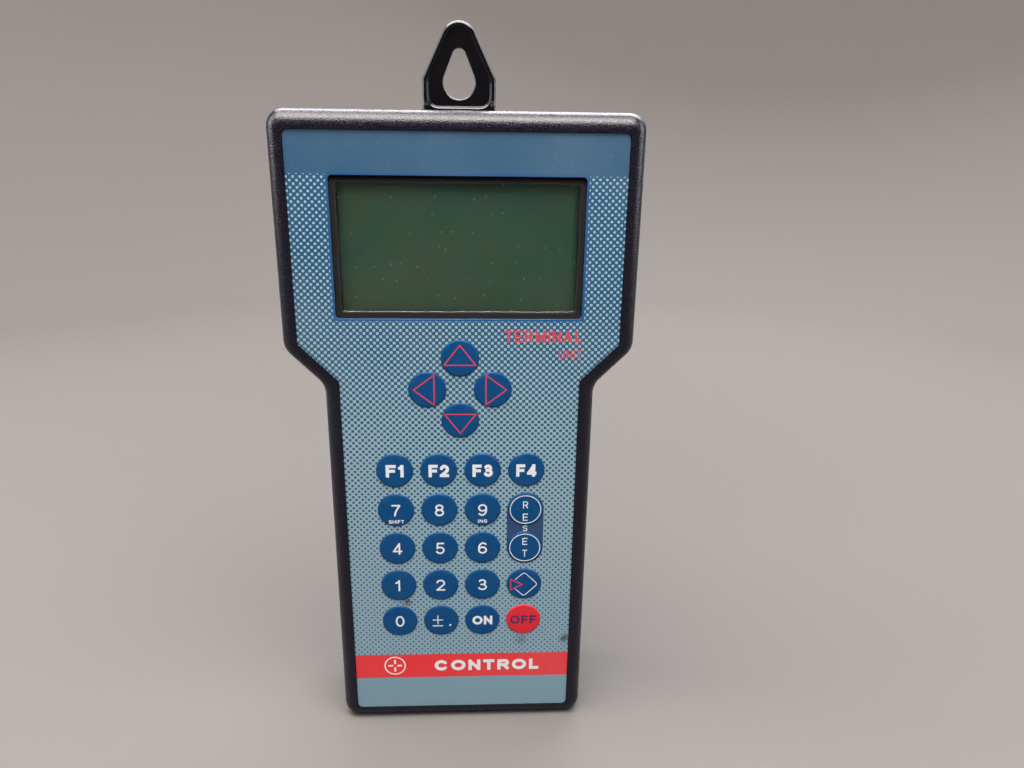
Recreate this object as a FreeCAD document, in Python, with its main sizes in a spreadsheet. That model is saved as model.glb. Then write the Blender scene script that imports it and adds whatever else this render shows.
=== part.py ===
"""A hand-held keypad control terminal: two-part housing, display, 24 keys, hanging eye, battery door.

Frame: millimetres, +X to the right as the keypad is read, +Y from the keypad into the housing, +Z up
the housing towards the hanging eye. The origin is the middle of the footprint of the lower end.
"""
import FreeCAD, Part

import math
import os
from types import SimpleNamespace

import Sketcher

DIMENSIONS = {
    # housing outside
    "body_height": 223.0,
    "body_depth": 40.0,
    "parting_y": -2.0,
    "wall": 2.5,
    "end_corner": 5.5,
    "shoulder_corner": 7.0,
    "front_round": 4.8,
    "rear_round": 5.0,
    "parting_chamfer": 0.4,
    "cavity_corner": 3.0,
    "seal_outer": 0.65,
    "seal_inner": 1.85,
    "seal_groove": 1.0,
    "seal_height": 0.9,
    # printed label and the recess that it lies in
    "label_head_width": 105.8,
    "label_grip_width": 80.2,
    "label_height": 212.0,
    "label_bottom": 5.0,
    "label_shoulder": 150.0,
    "label_corner": 1.8,
    "label_thickness": 0.5,
    "rim_side": 5.4,
    "rim_step": 0.5,
    "label_gap": 0.15,
    # blank plate on the back and its recess
    "plate_width": 48.0,
    "plate_bottom": 52.0,
    "plate_top": 76.0,
    "plate_thickness": 0.3,
    "plate_recess": 0.4,
    "plate_gap": 0.2,
    "plate_corner": 1.0,
    # keypad
    "key_pitch": 15.24,
    "key_diameter": 12.7,
    "key_row_top": 104.6,
    "arrow_centre": 134.25,
    "arrow_offset": 11.0,
    "key_rise": 0.35,
    "key_edge": 0.25,
    "key_gap": 0.1,
    "key_bore_gap": 0.2,
    "flange_diameter": 14.2,
    "flange_thickness": 0.8,
    "flange_gap": 0.15,
    "stem_diameter": 4.0,
    "stem_reach": 0.6,
    "dome_diameter": 8.4,
    "dome_rise": 0.5,
    "key_board_y": -15.0,
    "key_board_width": 64.0,
    "key_board_bottom": 32.0,
    "key_board_top": 153.0,
    "board_thickness": 1.6,
    "board_corner": 1.5,
    # display
    "window_width": 80.0,
    "window_height": 45.0,
    "window_centre": 181.2,
    "window_corner": 1.4,
    "window_thickness": 1.0,
    "window_gap": 0.15,
    "view_width": 76.4,
    "view_height": 41.4,
    "view_corner": 1.0,
    "collar_width": 2.8,
    "seal_thickness": 0.4,
    "collar_depth": 1.0,
    "bezel_y": -16.4,
    "bezel_width": 85.0,
    "bezel_height": 51.0,
    "bezel_sheet": 0.5,
    "bezel_corner": 1.0,
    "bezel_view_inset": 0.2,
    "bezel_view_corner": 0.6,
    "glass_side_gap": 0.8,
    "glass_thickness": 2.2,
    "glass_corner": 0.3,
    "strip_centre": 21.6,
    "strip_height": 2.6,
    "strip_inset": 4.0,
    "backlight_width": 78.0,
    "backlight_height": 40.0,
    "stack_gap": 0.1,
    "lcd_board_y": -9.0,
    "lcd_board_width": 96.0,
    "lcd_board_height": 58.0,
    # fasteners
    "boss_diameter": 8.0,
    "boss_head_x": 50.8,
    "boss_head_z": 215.0,
    "boss_grip_x": 38.0,
    "boss_middle_z": 128.0,
    "boss_low_z": 8.5,
    "post_diameter": 5.0,
    "keypad_post_x": 26.0,
    "keypad_post_z": 147.0,
    "lcd_post_x": 45.3,
    "lcd_post_z": 26.0,
    "main_post_x": 29.0,
    "main_post_low": 20.0,
    "main_post_high": 118.0,
    "guide_post_x": 20.5,
    "guide_post_z": 200.0,
    "small_screw": 1.8,
    "small_screw_gap": 0.6,
    "screw_head": 3.6,
    "head_height": 1.4,
    "screw_length": 6.0,
    "keypad_screw_length": 4.0,
    "hole_depth": 6.0,
    "keypad_hole_depth": 3.0,
    "slot_width": 0.8,
    "slot_depth": 0.5,
    "case_screw": 2.9,
    "case_screw_gap": 0.5,
    "case_screw_head": 5.6,
    "case_head_gap": 0.8,
    "case_head_height": 2.4,
    "case_screw_length": 11.0,
    "insert_diameter": 4.2,
    "insert_length": 6.0,
    "insert_sink": 0.5,
    "insert_runout": 1.0,
    "insert_thread_gap": 0.1,
    "head_seat_y": 3.2,
    # main board and what is on it
    "main_board_y": -1.1,
    "main_board_width": 66.0,
    "main_board_bottom": 14.0,
    "main_board_top": 124.0,
    "capacitor_height": 10.0,
    "buzzer_x": -18.0,
    "buzzer_z": 100.0,
    "buzzer_diameter": 14.0,
    "buzzer_height": 7.0,
    "buzzer_port": 2.0,
    # flat cables: where they leave one board, bend, and land on the other
    "ribbon_thickness": 0.35,
    "ribbon_gap": 0.05,
    "ribbon_overhang": 1.0,
    "ribbon_land": 6.0,
    "lcd_ribbon_width": 28.0,
    "lcd_ribbon_start": 22.0,
    "lcd_ribbon_bend": 38.0,
    "keypad_ribbon_width": 20.0,
    "keypad_ribbon_bend": 9.0,
    "keypad_ribbon_end": 4.0,
    # hanging eye
    "eye_width": 23.6,
    "eye_thickness": 4.5,
    "eye_front_y": 1.0,
    "eye_shoulder": 232.9,
    "eye_taper": 25.8,
    "eye_tip_radius": 5.6,
    "eye_edge": 0.6,
    "eye_rim": 1.8,
    "eye_floor_depth": 1.6,
    "eye_floor_start": 1.0,
    "eye_floor_corner": 2.8,
    "eye_foot_width": 29.0,
    "eye_foot_height": 6.8,
    "eye_gap": 0.3,
    "eye_travel": 25.0,
    "hole_radius": 5.25,
    "hole_low": 231.9,
    "hole_tip_radius": 2.2,
    "hole_high": 239.9,
    "guide_sheet": 1.5,
    "guide_wall": 2.0,
    "guide_ear_width": 48.0,
    "guide_ear_height": 8.0,
    # battery bay and door
    "bay_centre": 155.0,
    "bay_width": 65.0,
    "bay_height": 61.0,
    "bay_front_y": 1.5,
    "tray_wall": 1.5,
    "cell_diameter": 14.2,
    "cell_length": 49.2,
    "cell_pitch": 15.2,
    "nub_diameter": 5.4,
    "nub_length": 1.0,
    "fence_width": 0.6,
    "fence_height": 3.0,
    "fence_end_gap": 6.0,
    "contact_thickness": 0.4,
    "contact_width": 10.0,
    "contact_depth": 8.0,
    "spring_wide": 8.0,
    "spring_narrow": 5.0,
    "stud_diameter": 4.0,
    "lead_diameter": 1.4,
    "lead_x": 22.0,
    "lead_stand_off": 1.8,
    "lead_overlap": 6.0,
    "door_width": 66.0,
    "door_height": 66.0,
    "door_thickness": 1.8,
    "door_gap": 0.25,
    "door_back_gap": 0.1,
    "door_corner": 1.5,
    "grip_width": 24.0,
    "grip_height": 1.2,
    "grip_pitch": 2.4,
    "grip_depth": 0.5,
    "grip_drop": 6.0,
    "notch_diameter": 18.0,
    "notch_depth": 1.6,
    "notch_drop": 1.0,
    "opening_width": 61.0,
    "opening_height": 57.0,
    # port in the lower end
    "port_y": 6.8,
    "port_pocket_width": 34.0,
    "port_pocket_depth": 12.6,
    "port_pocket_height": 4.0,
    "port_width": 16.9,
    "port_depth": 8.4,
    "port_sheet": 0.5,
    "port_lean": 10.0,
    "port_gap": 0.3,
    "port_collar_bottom": 0.8,
    "port_wall": 2.0,
    "port_front_wall": 1.0,
    "port_flange_width": 30.8,
    "port_flange_depth": 12.4,
    "port_flange_height": 6.0,
    "jackscrew_spacing": 24.99,
    "jackscrew_hexagon": 5.5,
    "jackscrew_bottom": 1.0,
    "jackscrew_shank": 2.8,
    "jackscrew_reach": 7.5,
    "jackscrew_bore": 2.3,
    "jackscrew_bore_top": 7.0,
    "jackscrew_hole": 3.4,
    "flange_hole": 3.2,
    "contact_block_bottom": 1.2,
    "contact_block_gap": 0.05,
    "contact_block_overlap": 0.6,
    "contact_back_width": 20.0,
    "contact_back_depth": 11.0,
    "contact_back_height": 5.0,
    "pin_pitch": 2.77,
    "pin_row": 2.84,
    "pin_bore": 1.1,
    "pin_depth": 4.5,
}


class Size:
    """A length known both as a number and as the sheet expression that gives it."""

    def __init__(self, value, text=None):
        self.value = float(value)
        self.text = repr(self.value) if text is None else text

    def joined(self, other, sign, result):
        return Size(result, f"({self.text} {sign} {other.text})")

    def __add__(self, other):
        other = sized(other)
        return self.joined(other, "+", self.value + other.value)

    def __sub__(self, other):
        other = sized(other)
        return self.joined(other, "-", self.value - other.value)

    def __mul__(self, other):
        other = sized(other)
        return self.joined(other, "*", self.value * other.value)

    def __truediv__(self, other):
        other = sized(other)
        return self.joined(other, "/", self.value / other.value)

    def __radd__(self, other):
        return sized(other) + self

    def __rsub__(self, other):
        return sized(other) - self

    def __rmul__(self, other):
        return sized(other) * self

    def __neg__(self):
        return sized(0) - self

    def turned(self, name):
        """The sine, cosine or tangent of this angle in degrees."""
        found = getattr(math, name)(math.radians(self.value))
        return Size(found, f"{name}({self.text} * 1 deg)")


def sized(value):
    return value if isinstance(value, Size) else Size(value)


doc = FreeCAD.newDocument("control_terminal")


def make_sheet():
    """Fill the sheet of driving dimensions and return them as sizes."""
    sheet = doc.addObject("Spreadsheet::Sheet", "dims")
    sizes = {}
    for row, (alias, value) in enumerate(DIMENSIONS.items(), start=1):
        sheet.set(f"A{row}", alias)
        sheet.set(f"B{row}", str(value))
        sheet.setAlias(f"B{row}", alias)
        sizes[alias] = Size(value, f"dims.{alias}")
    doc.recompute()
    return SimpleNamespace(**sizes)


D = make_sheet()
FRONT = -D.body_depth / 2
REAR = D.body_depth / 2
WALL_INSIDE = FRONT + D.wall
LABEL_Y = FRONT + D.rim_step
LABEL_TOP = D.label_bottom + D.label_height
BACK_INSIDE = REAR - D.wall
KEY_BOARD_BACK = D.key_board_y + D.board_thickness
LCD_BOARD_BACK = D.lcd_board_y + D.board_thickness
MAIN_BOARD_BACK = D.main_board_y + D.board_thickness
WINDOW_Y = LABEL_Y
WINDOW_BACK = WINDOW_Y + D.window_thickness
WINDOW_SEAT_Y = WINDOW_BACK + D.seal_thickness
GLASS_Y = D.bezel_y + D.bezel_sheet + D.stack_gap
GLASS_BACK = GLASS_Y + D.glass_thickness
EYE_BACK_Y = D.eye_front_y + D.eye_thickness
EYE_HALF = D.eye_width / 2
EYE_APEX = D.eye_shoulder + EYE_HALF / D.eye_taper.turned("tan")
EYE_FOOT_TOP = D.body_height - D.wall - D.eye_gap
EYE_FOOT_BOTTOM = EYE_FOOT_TOP - D.eye_foot_height
GUIDE_FRONT = D.eye_front_y - D.eye_gap - D.guide_sheet
GUIDE_EAR_BACK = GUIDE_FRONT + D.guide_sheet
PLATE_HALF = D.plate_width / 2
PORT_LOW = D.port_y - D.port_pocket_depth / 2
PORT_HIGH = D.port_y + D.port_pocket_depth / 2
PORT_SEAT = D.wall + D.port_pocket_height
FLANGE_TOP = PORT_SEAT + D.port_flange_height
JACKSCREWS = (-D.jackscrew_spacing / 2, D.jackscrew_spacing / 2)
BAY_LOW = D.bay_centre - D.bay_height / 2
BAY_HIGH = D.bay_centre + D.bay_height / 2
DOOR_TOP = D.bay_centre + D.door_height / 2
TRAY_BACK = BACK_INSIDE - D.stack_gap
CELL_Y = D.bay_front_y + D.tray_wall + D.cell_diameter / 2 + D.stack_gap
CELL_LOW = D.bay_centre - (D.cell_length + D.nub_length) / 2
CELL_HIGH = D.bay_centre + (D.cell_length + D.nub_length) / 2

# how far a cut runs past the face that it opens
PAST = Size(0.5)


# --- helpers ------------------------------------------------------------------------------------

def bind(thing, path, length):
    """Bind a property to the sheet through its expression."""
    thing.setExpression(path, sized(length).text)


def place(thing, x, y, z, rotation=FreeCAD.Rotation()):
    """Set a placement and bind its three coordinates."""
    thing.Placement = FreeCAD.Placement(FreeCAD.Vector(0, 0, 0), rotation)
    for axis, length in (("x", x), ("y", y), ("z", z)):
        bind(thing, f"Placement.Base.{axis}", length)
    return thing


ALONG_Y = FreeCAD.Rotation(FreeCAD.Vector(1, 0, 0), -90)
TOLERANCE = 1e-6


def box(label, x0, x1, y0, y1, z0, z1):
    """A box between three pairs of planes."""
    block = doc.addObject("Part::Box", label)
    bind(block, "Length", sized(x1) - x0)
    bind(block, "Width", sized(y1) - y0)
    bind(block, "Height", sized(z1) - z0)
    return place(block, x0, y0, z0)


def rod_y(label, diameter, x, z, y0, y1):
    """A round bar that runs front to back."""
    rod = doc.addObject("Part::Cylinder", label)
    bind(rod, "Radius", sized(diameter) / 2)
    bind(rod, "Height", sized(y1) - y0)
    return place(rod, x, y0, z, ALONG_Y)


def rod_z(label, diameter, x, y, z0, z1):
    """A round bar that runs up the housing."""
    rod = doc.addObject("Part::Cylinder", label)
    bind(rod, "Radius", sized(diameter) / 2)
    bind(rod, "Height", sized(z1) - z0)
    return place(rod, x, y, z0)


def cone_z(label, low, high, x, y, z0, z1):
    """A round taper that runs up the housing, from one diameter to another."""
    cone = doc.addObject("Part::Cone", label)
    bind(cone, "Radius1", sized(low) / 2)
    bind(cone, "Radius2", sized(high) / 2)
    bind(cone, "Height", sized(z1) - z0)
    return place(cone, x, y, z0)


def fuse(label, pieces):
    whole = doc.addObject("Part::MultiFuse", label)
    whole.Shapes = pieces
    whole.Refine = True
    return whole


def cut(label, base, tools):
    """Take every tool away from the base."""
    taken = doc.addObject("Part::Cut", label)
    taken.Base = base
    taken.Tool = tools[0] if len(tools) == 1 else fuse(label + "_tools", tools)
    return taken


def group(label, pieces):
    """Several separate solids that count as one sub-part."""
    together = doc.addObject("Part::Compound", label)
    together.Links = pieces
    return together


def new_body(label):
    return doc.addObject("PartDesign::Body", label)


def new_sketch(body, role, offset, name):
    """A sketch on one of the body's own origin planes, moved along that plane's normal."""
    sketch = body.newObject("Sketcher::SketchObject", name)
    plane = next(face for face in body.Origin.OriginFeatures if face.Role == role)
    sketch.AttachmentSupport = [(plane, "")]
    sketch.MapMode = "FlatFace"
    bind(sketch, "AttachmentOffset.Base.z", offset)
    return sketch


def sketch_at_y(body, y, name):
    """A sketch in x and z. Its normal points to the front, along -Y."""
    return new_sketch(body, "XZ_Plane", -sized(y), name)


def sketch_at_z(body, z, name):
    """A sketch in x and y. Its normal points up."""
    return new_sketch(body, "XY_Plane", z, name)


def fix_point(sketch, geometry, corner, x, y):
    """Tie a point of the sketch to the origin with two bound distances."""
    for kind, axis, length in (("DistanceX", -2, sized(x)), ("DistanceY", -1, sized(y))):
        if length.value == 0:
            sketch.addConstraint(Sketcher.Constraint("PointOnObject", geometry, corner, axis))
            continue
        ends = (-1, 1, geometry, corner) if length.value > 0 else (geometry, corner, -1, 1)
        distance = abs(length.value)
        index = sketch.addConstraint(Sketcher.Constraint(kind, *ends, distance))
        bind(sketch, f"Constraints[{index}]", length if length.value > 0 else -length)


def polygon(sketch, corners):
    """A closed outline of straight sides through the corners."""
    points = [FreeCAD.Vector(sized(x).value, sized(y).value, 0) for x, y in corners]
    count = len(points)
    sides = [
        sketch.addGeometry(Part.LineSegment(points[i], points[(i + 1) % count]))
        for i in range(count)
    ]
    for i in range(count):
        ends = Sketcher.Constraint("Coincident", sides[i], 2, sides[(i + 1) % count], 1)
        sketch.addConstraint(ends)
    for side, (x, y) in zip(sides, corners):
        fix_point(sketch, side, 1, x, y)


def rectangle(sketch, x0, x1, y0, y1):
    polygon(sketch, [(x0, y0), (x1, y0), (x1, y1), (x0, y1)])


def circle(sketch, x, y, diameter):
    middle = FreeCAD.Vector(sized(x).value, sized(y).value, 0)
    radius = sized(diameter) / 2
    ring = sketch.addGeometry(Part.Circle(middle, FreeCAD.Vector(0, 0, 1), radius.value))
    fix_point(sketch, ring, 3, x, y)
    index = sketch.addConstraint(Sketcher.Constraint("Radius", ring, radius.value))
    bind(sketch, f"Constraints[{index}]", radius)


def pad(body, sketch, length, backwards=False):
    solid = body.newObject("PartDesign::Pad", "Pad")
    solid.Profile = sketch
    solid.Reversed = backwards
    bind(solid, "Length", length)
    doc.recompute()
    return solid


def pocket(body, sketch, depth, backwards=False):
    """Cut the sketch into the body, and make sure that it did take material away."""
    before = body.Shape.Volume
    hole = body.newObject("PartDesign::Pocket", "Pocket")
    hole.Profile = sketch
    hole.Reversed = backwards
    bind(hole, "Length", depth)
    doc.recompute()
    if not hole.Shape.Volume < before:
        raise RuntimeError(f"{body.Label}: {sketch.Name} cuts nothing")
    return hole


def front_to_back(edge):
    """True of a straight edge that runs along Y."""
    first = edge.Vertexes[0].Point
    last = edge.Vertexes[-1].Point
    along = abs(first.x - last.x) < TOLERANCE and abs(first.z - last.z) < TOLERANCE
    return along and abs(first.y - last.y) > TOLERANCE


def level(edge, y):
    """True of an edge that lies in the plane at this y."""
    return all(abs(vertex.Point.y - y.value) < TOLERANCE for vertex in edge.Vertexes)


def dress(body, kind, base, wanted, size):
    """Fillet or chamfer the wanted edges of the body's last feature."""
    names = [f"Edge{i}" for i, edge in enumerate(base.Shape.Edges, start=1) if wanted(edge)]
    if not names:
        raise RuntimeError(f"{body.Label}: no edge to {kind.lower()}")
    feature = body.newObject("PartDesign::" + kind, kind)
    feature.Base = (base, names)
    bind(feature, "Radius" if kind == "Fillet" else "Size", size)
    doc.recompute()
    return feature


def new_corners(before, base):
    """A test for the front-to-back edges that the last feature added."""
    old = [edge.CenterOfMass for edge in before.Edges if front_to_back(edge)]

    def wanted(edge):
        middle = edge.CenterOfMass
        return front_to_back(edge) and all((middle - spot).Length > TOLERANCE for spot in old)

    return wanted


def plate(label, x0, x1, z0, z1, y0, y1, corner):
    """A flat plate with rounded corners, facing the front."""
    body = new_body(label)
    outline = sketch_at_y(body, y0, label + "_outline")
    rectangle(outline, x0, x1, z0, z1)
    slab = pad(body, outline, sized(y1) - y0, backwards=True)
    dress(body, "Fillet", slab, front_to_back, corner)
    return body


# --- housing ------------------------------------------------------------------------------------

# half of the shoulders' 45 degrees
MITRE = Size(45 / 2).turned("tan")


def housing_outline(sketch, offset, top, bottom):
    """The head, the 45 degree shoulders and the grip, at an offset from the label's sides."""
    head = D.label_head_width / 2 + offset
    grip = D.label_grip_width / 2 + offset
    shoulder = D.label_shoulder - MITRE * offset
    neck = shoulder - (D.label_head_width - D.label_grip_width) / 2
    right = [(grip, bottom), (grip, neck), (head, shoulder), (head, top)]
    left = [(-x, z) for x, z in reversed(right)]
    polygon(sketch, right + left)


def key_columns():
    """The four columns' x, left to right."""
    return [D.key_pitch * step for step in (-1.5, -0.5, 0.5, 1.5)]


def key_rows():
    """The five rows' z, top to bottom."""
    return [D.key_row_top - D.key_pitch * step for step in range(5)]


KEY_NAMES = (
    ("f1", "f2", "f3", "f4"),
    ("7", "8", "9", "reset_upper"),
    ("4", "5", "6", "reset_lower"),
    ("1", "2", "3", "enter"),
    ("0", "plus_minus", "on", "off"),
)


def key_places():
    """Every key's name and centre."""
    places = {}
    for z, names in zip(key_rows(), KEY_NAMES):
        for x, name in zip(key_columns(), names):
            places["key_" + name] = (x, z)
    places["key_arrow_up"] = (sized(0), D.arrow_centre + D.arrow_offset)
    places["key_arrow_down"] = (sized(0), D.arrow_centre - D.arrow_offset)
    places["key_arrow_left"] = (-D.arrow_offset, D.arrow_centre)
    places["key_arrow_right"] = (D.arrow_offset, D.arrow_centre)
    return places


KEYS = key_places()


def mirrored(x, z):
    return [(-sized(x), sized(z)), (sized(x), sized(z))]


CASE_BOSSES = (
    mirrored(D.boss_head_x, D.boss_head_z)
    + mirrored(D.boss_grip_x, D.boss_middle_z)
    + mirrored(D.boss_grip_x, D.boss_low_z)
)
# between the first two and the last two rows of keys, and above the arrow keys
KEYPAD_POSTS = (
    mirrored(D.key_pitch, D.key_row_top - D.key_pitch * 0.5)
    + mirrored(D.key_pitch, D.key_row_top - D.key_pitch * 3.5)
    + mirrored(D.keypad_post_x, D.keypad_post_z)
)
LCD_POSTS = (
    mirrored(D.lcd_post_x, D.window_centre - D.lcd_post_z)
    + mirrored(D.lcd_post_x, D.window_centre + D.lcd_post_z)
)
MAIN_POSTS = mirrored(D.main_post_x, D.main_post_low) + mirrored(D.main_post_x, D.main_post_high)
GUIDE_POSTS = mirrored(D.guide_post_x, D.guide_post_z)


def circles(sketch, places, diameter):
    for x, z in places:
        circle(sketch, x, z, diameter)


def half_housing(label, y0, y1, edge_y, edge_round):
    """A closed half of the housing: outline, rounded corners, rounded face, chamfered parting edge."""
    body = new_body(label)
    outline = sketch_at_y(body, y0, label + "_outline")
    housing_outline(outline, D.rim_side, D.body_height, sized(0))
    solid = pad(body, outline, y1 - y0, backwards=True)
    top = D.body_height.value
    inset = D.end_corner.value + TOLERANCE

    def at_end(edge):
        return front_to_back(edge) and not TOLERANCE < edge.CenterOfMass.z < top - TOLERANCE

    def at_shoulder(edge):
        return front_to_back(edge) and inset < edge.CenterOfMass.z < top - inset

    solid = dress(body, "Fillet", solid, at_end, D.end_corner)
    solid = dress(body, "Fillet", solid, at_shoulder, D.shoulder_corner)
    solid = dress(body, "Fillet", solid, lambda edge: level(edge, edge_y), edge_round)
    parting = D.parting_y
    return body, dress(body, "Chamfer", solid, lambda edge: level(edge, parting), D.parting_chamfer)


def hollow(body, solid, depth, backwards):
    """The cavity, cut in from the parting plane, with rounded corners."""
    before = solid.Shape.copy()
    cavity = sketch_at_y(body, D.parting_y, body.Label + "_cavity")
    housing_outline(cavity, D.rim_side - D.wall, D.body_height - D.wall, D.wall)
    hole = pocket(body, cavity, depth, backwards)
    return dress(body, "Fillet", hole, new_corners(before, hole), D.cavity_corner)


def add_posts(body, places, y0, y1, diameter, name):
    """Round posts from one plane to another. They grow to the front where y1 is the smaller."""
    sketch = sketch_at_y(body, y0, name)
    circles(sketch, places, diameter)
    grows_back = sized(y1).value > sized(y0).value
    length = sized(y1) - y0 if grows_back else sized(y0) - y1
    pad(body, sketch, length, backwards=grows_back)


def drill(body, places, y0, y1, diameter, name):
    """Round holes from the plane y0 to the plane y1."""
    sketch = sketch_at_y(body, y0, name)
    circles(sketch, places, diameter)
    goes_back = sized(y1).value > sized(y0).value
    depth = sized(y1) - y0 if goes_back else sized(y0) - y1
    pocket(body, sketch, depth, backwards=not goes_back)


def window_rectangle(sketch, width, height):
    rectangle(
        sketch,
        -width / 2,
        width / 2,
        D.window_centre - height / 2,
        D.window_centre + height / 2,
    )


def cut_window(body, y, depth, width, height, corner, name):
    """A rectangular window with rounded corners, cut from the plane y towards the back."""
    before = body.Shape.copy()
    sketch = sketch_at_y(body, y, name)
    window_rectangle(sketch, width, height)
    hole = pocket(body, sketch, depth)
    return dress(body, "Fillet", hole, new_corners(before, hole), corner)


def make_front_shell():
    body, solid = half_housing("front_shell", FRONT, D.parting_y, FRONT, D.front_round)
    hollow(body, solid, D.parting_y - WALL_INSIDE, backwards=True)

    recess = sketch_at_y(body, FRONT, "label_recess")
    top = LABEL_TOP + D.label_gap
    bottom = D.label_bottom - D.label_gap
    housing_outline(recess, D.label_gap, top, bottom)
    before = body.Shape.copy()
    hole = pocket(body, recess, D.rim_step + D.label_thickness)
    dress(body, "Fillet", hole, new_corners(before, hole), D.label_corner)

    collar = sketch_at_y(body, WALL_INSIDE, "window_collar")
    collar_grow = D.collar_width * 2
    window_rectangle(collar, D.view_width + collar_grow, D.view_height + collar_grow)
    pad(body, collar, D.collar_depth, backwards=True)
    seat_width = D.window_width + D.window_gap * 2
    seat_height = D.window_height + D.window_gap * 2
    cut_window(
        body, FRONT, WINDOW_SEAT_Y - FRONT, seat_width, seat_height, D.window_corner, "window_seat"
    )
    cut_window(
        body, FRONT, D.wall + D.collar_depth + PAST, D.view_width, D.view_height, D.view_corner,
        "window_view",
    )

    bore = D.key_diameter + D.key_bore_gap * 2
    drill(body, KEYS.values(), FRONT, WALL_INSIDE + PAST, bore, "key_bores")
    add_posts(body, CASE_BOSSES, WALL_INSIDE, D.parting_y, D.boss_diameter, "case_bosses")
    insert_end = D.parting_y - D.insert_length - D.insert_runout
    drill(body, CASE_BOSSES, D.parting_y, insert_end, D.insert_diameter, "insert_holes")
    add_posts(body, KEYPAD_POSTS, WALL_INSIDE, D.key_board_y, D.post_diameter, "keypad_posts")
    keypad_hole_end = D.key_board_y - D.keypad_hole_depth
    drill(body, KEYPAD_POSTS, D.key_board_y, keypad_hole_end, D.small_screw, "keypad_screw_holes")
    add_posts(body, LCD_POSTS, WALL_INSIDE, D.lcd_board_y, D.post_diameter, "lcd_posts")
    lcd_hole_end = D.lcd_board_y - D.hole_depth
    drill(body, LCD_POSTS, D.lcd_board_y, lcd_hole_end, D.small_screw, "lcd_screw_holes")
    return body


def door_rectangle(sketch, grow):
    half_width = D.door_width / 2 + grow
    low = D.bay_centre - D.door_height / 2 - grow
    rectangle(sketch, -half_width, half_width, low, DOOR_TOP + grow)


def make_rear_shell():
    body, solid = half_housing("rear_shell", D.parting_y, REAR, REAR, D.rear_round)
    hollow(body, solid, BACK_INSIDE - D.parting_y, backwards=False)

    # groove for the seal in the rim
    groove = sketch_at_y(body, D.parting_y, "seal_groove")
    seal_outlines(groove, Size(0))
    pocket(body, groove, D.seal_groove)

    # posts and bosses on the back wall
    add_posts(body, CASE_BOSSES, BACK_INSIDE, D.parting_y, D.boss_diameter, "case_bosses")
    screw_hole = D.case_screw + D.case_screw_gap
    head_hole = D.case_screw_head + D.case_head_gap
    drill(body, CASE_BOSSES, REAR, D.parting_y, screw_hole, "case_screw_holes")
    drill(body, CASE_BOSSES, REAR, D.head_seat_y, head_hole, "case_head_holes")
    for places, seat, name in (
        (MAIN_POSTS, MAIN_BOARD_BACK, "board"),
        (GUIDE_POSTS, GUIDE_EAR_BACK, "guide"),
    ):
        add_posts(body, places, BACK_INSIDE, seat, D.post_diameter, name + "_posts")
        drill(body, places, seat, seat + D.hole_depth, D.small_screw, name + "_holes")

    # recess and opening for the battery door, and a thumb notch above it
    recess = sketch_at_y(body, REAR, "door_recess")
    door_rectangle(recess, D.door_gap)
    pocket(body, recess, D.door_thickness + D.door_back_gap, backwards=True)
    opening = sketch_at_y(body, REAR, "battery_opening")
    half_width = D.opening_width / 2
    half_height = D.opening_height / 2
    low = D.bay_centre - half_height
    rectangle(opening, -half_width, half_width, low, D.bay_centre + half_height)
    pocket(body, opening, D.wall + PAST, backwards=True)
    notch = sketch_at_y(body, REAR, "thumb_notch")
    circle(notch, 0, DOOR_TOP - D.notch_drop, D.notch_diameter)
    pocket(body, notch, D.notch_depth, backwards=True)

    # shallow recess for the blank plate
    plate_recess = sketch_at_y(body, REAR, "plate_recess")
    half_width = PLATE_HALF + D.plate_gap
    low = D.plate_bottom - D.plate_gap
    rectangle(plate_recess, -half_width, half_width, low, D.plate_top + D.plate_gap)
    pocket(body, plate_recess, D.plate_recess, backwards=True)

    # slot for the hanging eye through the top wall
    slot = sketch_at_z(body, D.body_height, "eye_slot")
    half_slot = EYE_HALF + D.eye_gap
    rectangle(slot, -half_slot, half_slot, D.eye_front_y - D.eye_gap, EYE_BACK_Y + D.eye_gap)
    pocket(body, slot, D.wall + PAST)

    # thicker floor around the port, with a pocket and a hole in it
    block = sketch_at_z(body, D.wall, "port_block")
    side = D.port_pocket_width / 2 + D.port_wall
    rectangle(block, -side, side, PORT_LOW - D.port_front_wall, PORT_HIGH + D.port_wall)
    pad(body, block, D.port_pocket_height)
    port_pocket = sketch_at_z(body, 0, "port_pocket")
    side = D.port_pocket_width / 2
    rectangle(port_pocket, -side, side, PORT_LOW, PORT_HIGH)
    pocket(body, port_pocket, D.port_pocket_height, backwards=True)
    port_hole = sketch_at_z(body, 0, "port_hole")
    port_outline(port_hole, D.port_gap)
    pocket(body, port_hole, PORT_SEAT + PAST, backwards=True)
    screw_holes = sketch_at_z(body, 0, "jackscrew_holes")
    for x in JACKSCREWS:
        circle(screw_holes, x, D.port_y, D.jackscrew_hole)
    pocket(body, screw_holes, PORT_SEAT + PAST, backwards=True)
    return body


def seal_outlines(sketch, shrink):
    """The outer and inner edge of the seal, in the middle of the housing wall."""
    outer = D.seal_outer + shrink
    inner = D.seal_inner - shrink
    housing_outline(sketch, D.rim_side - outer, D.body_height - outer, outer)
    housing_outline(sketch, D.rim_side - inner, D.body_height - inner, inner)


def port_outline(sketch, grow):
    """The D outline of the nine-way port, whose sides lean in."""
    wide = D.port_width / 2 + grow
    half_depth = D.port_depth / 2 + grow
    lean = D.port_lean.turned("tan") * half_depth * 2
    low = D.port_y - half_depth
    high = D.port_y + half_depth
    polygon(sketch, [(-wide + lean, low), (wide - lean, low), (wide, high), (-wide, high)])


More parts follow.
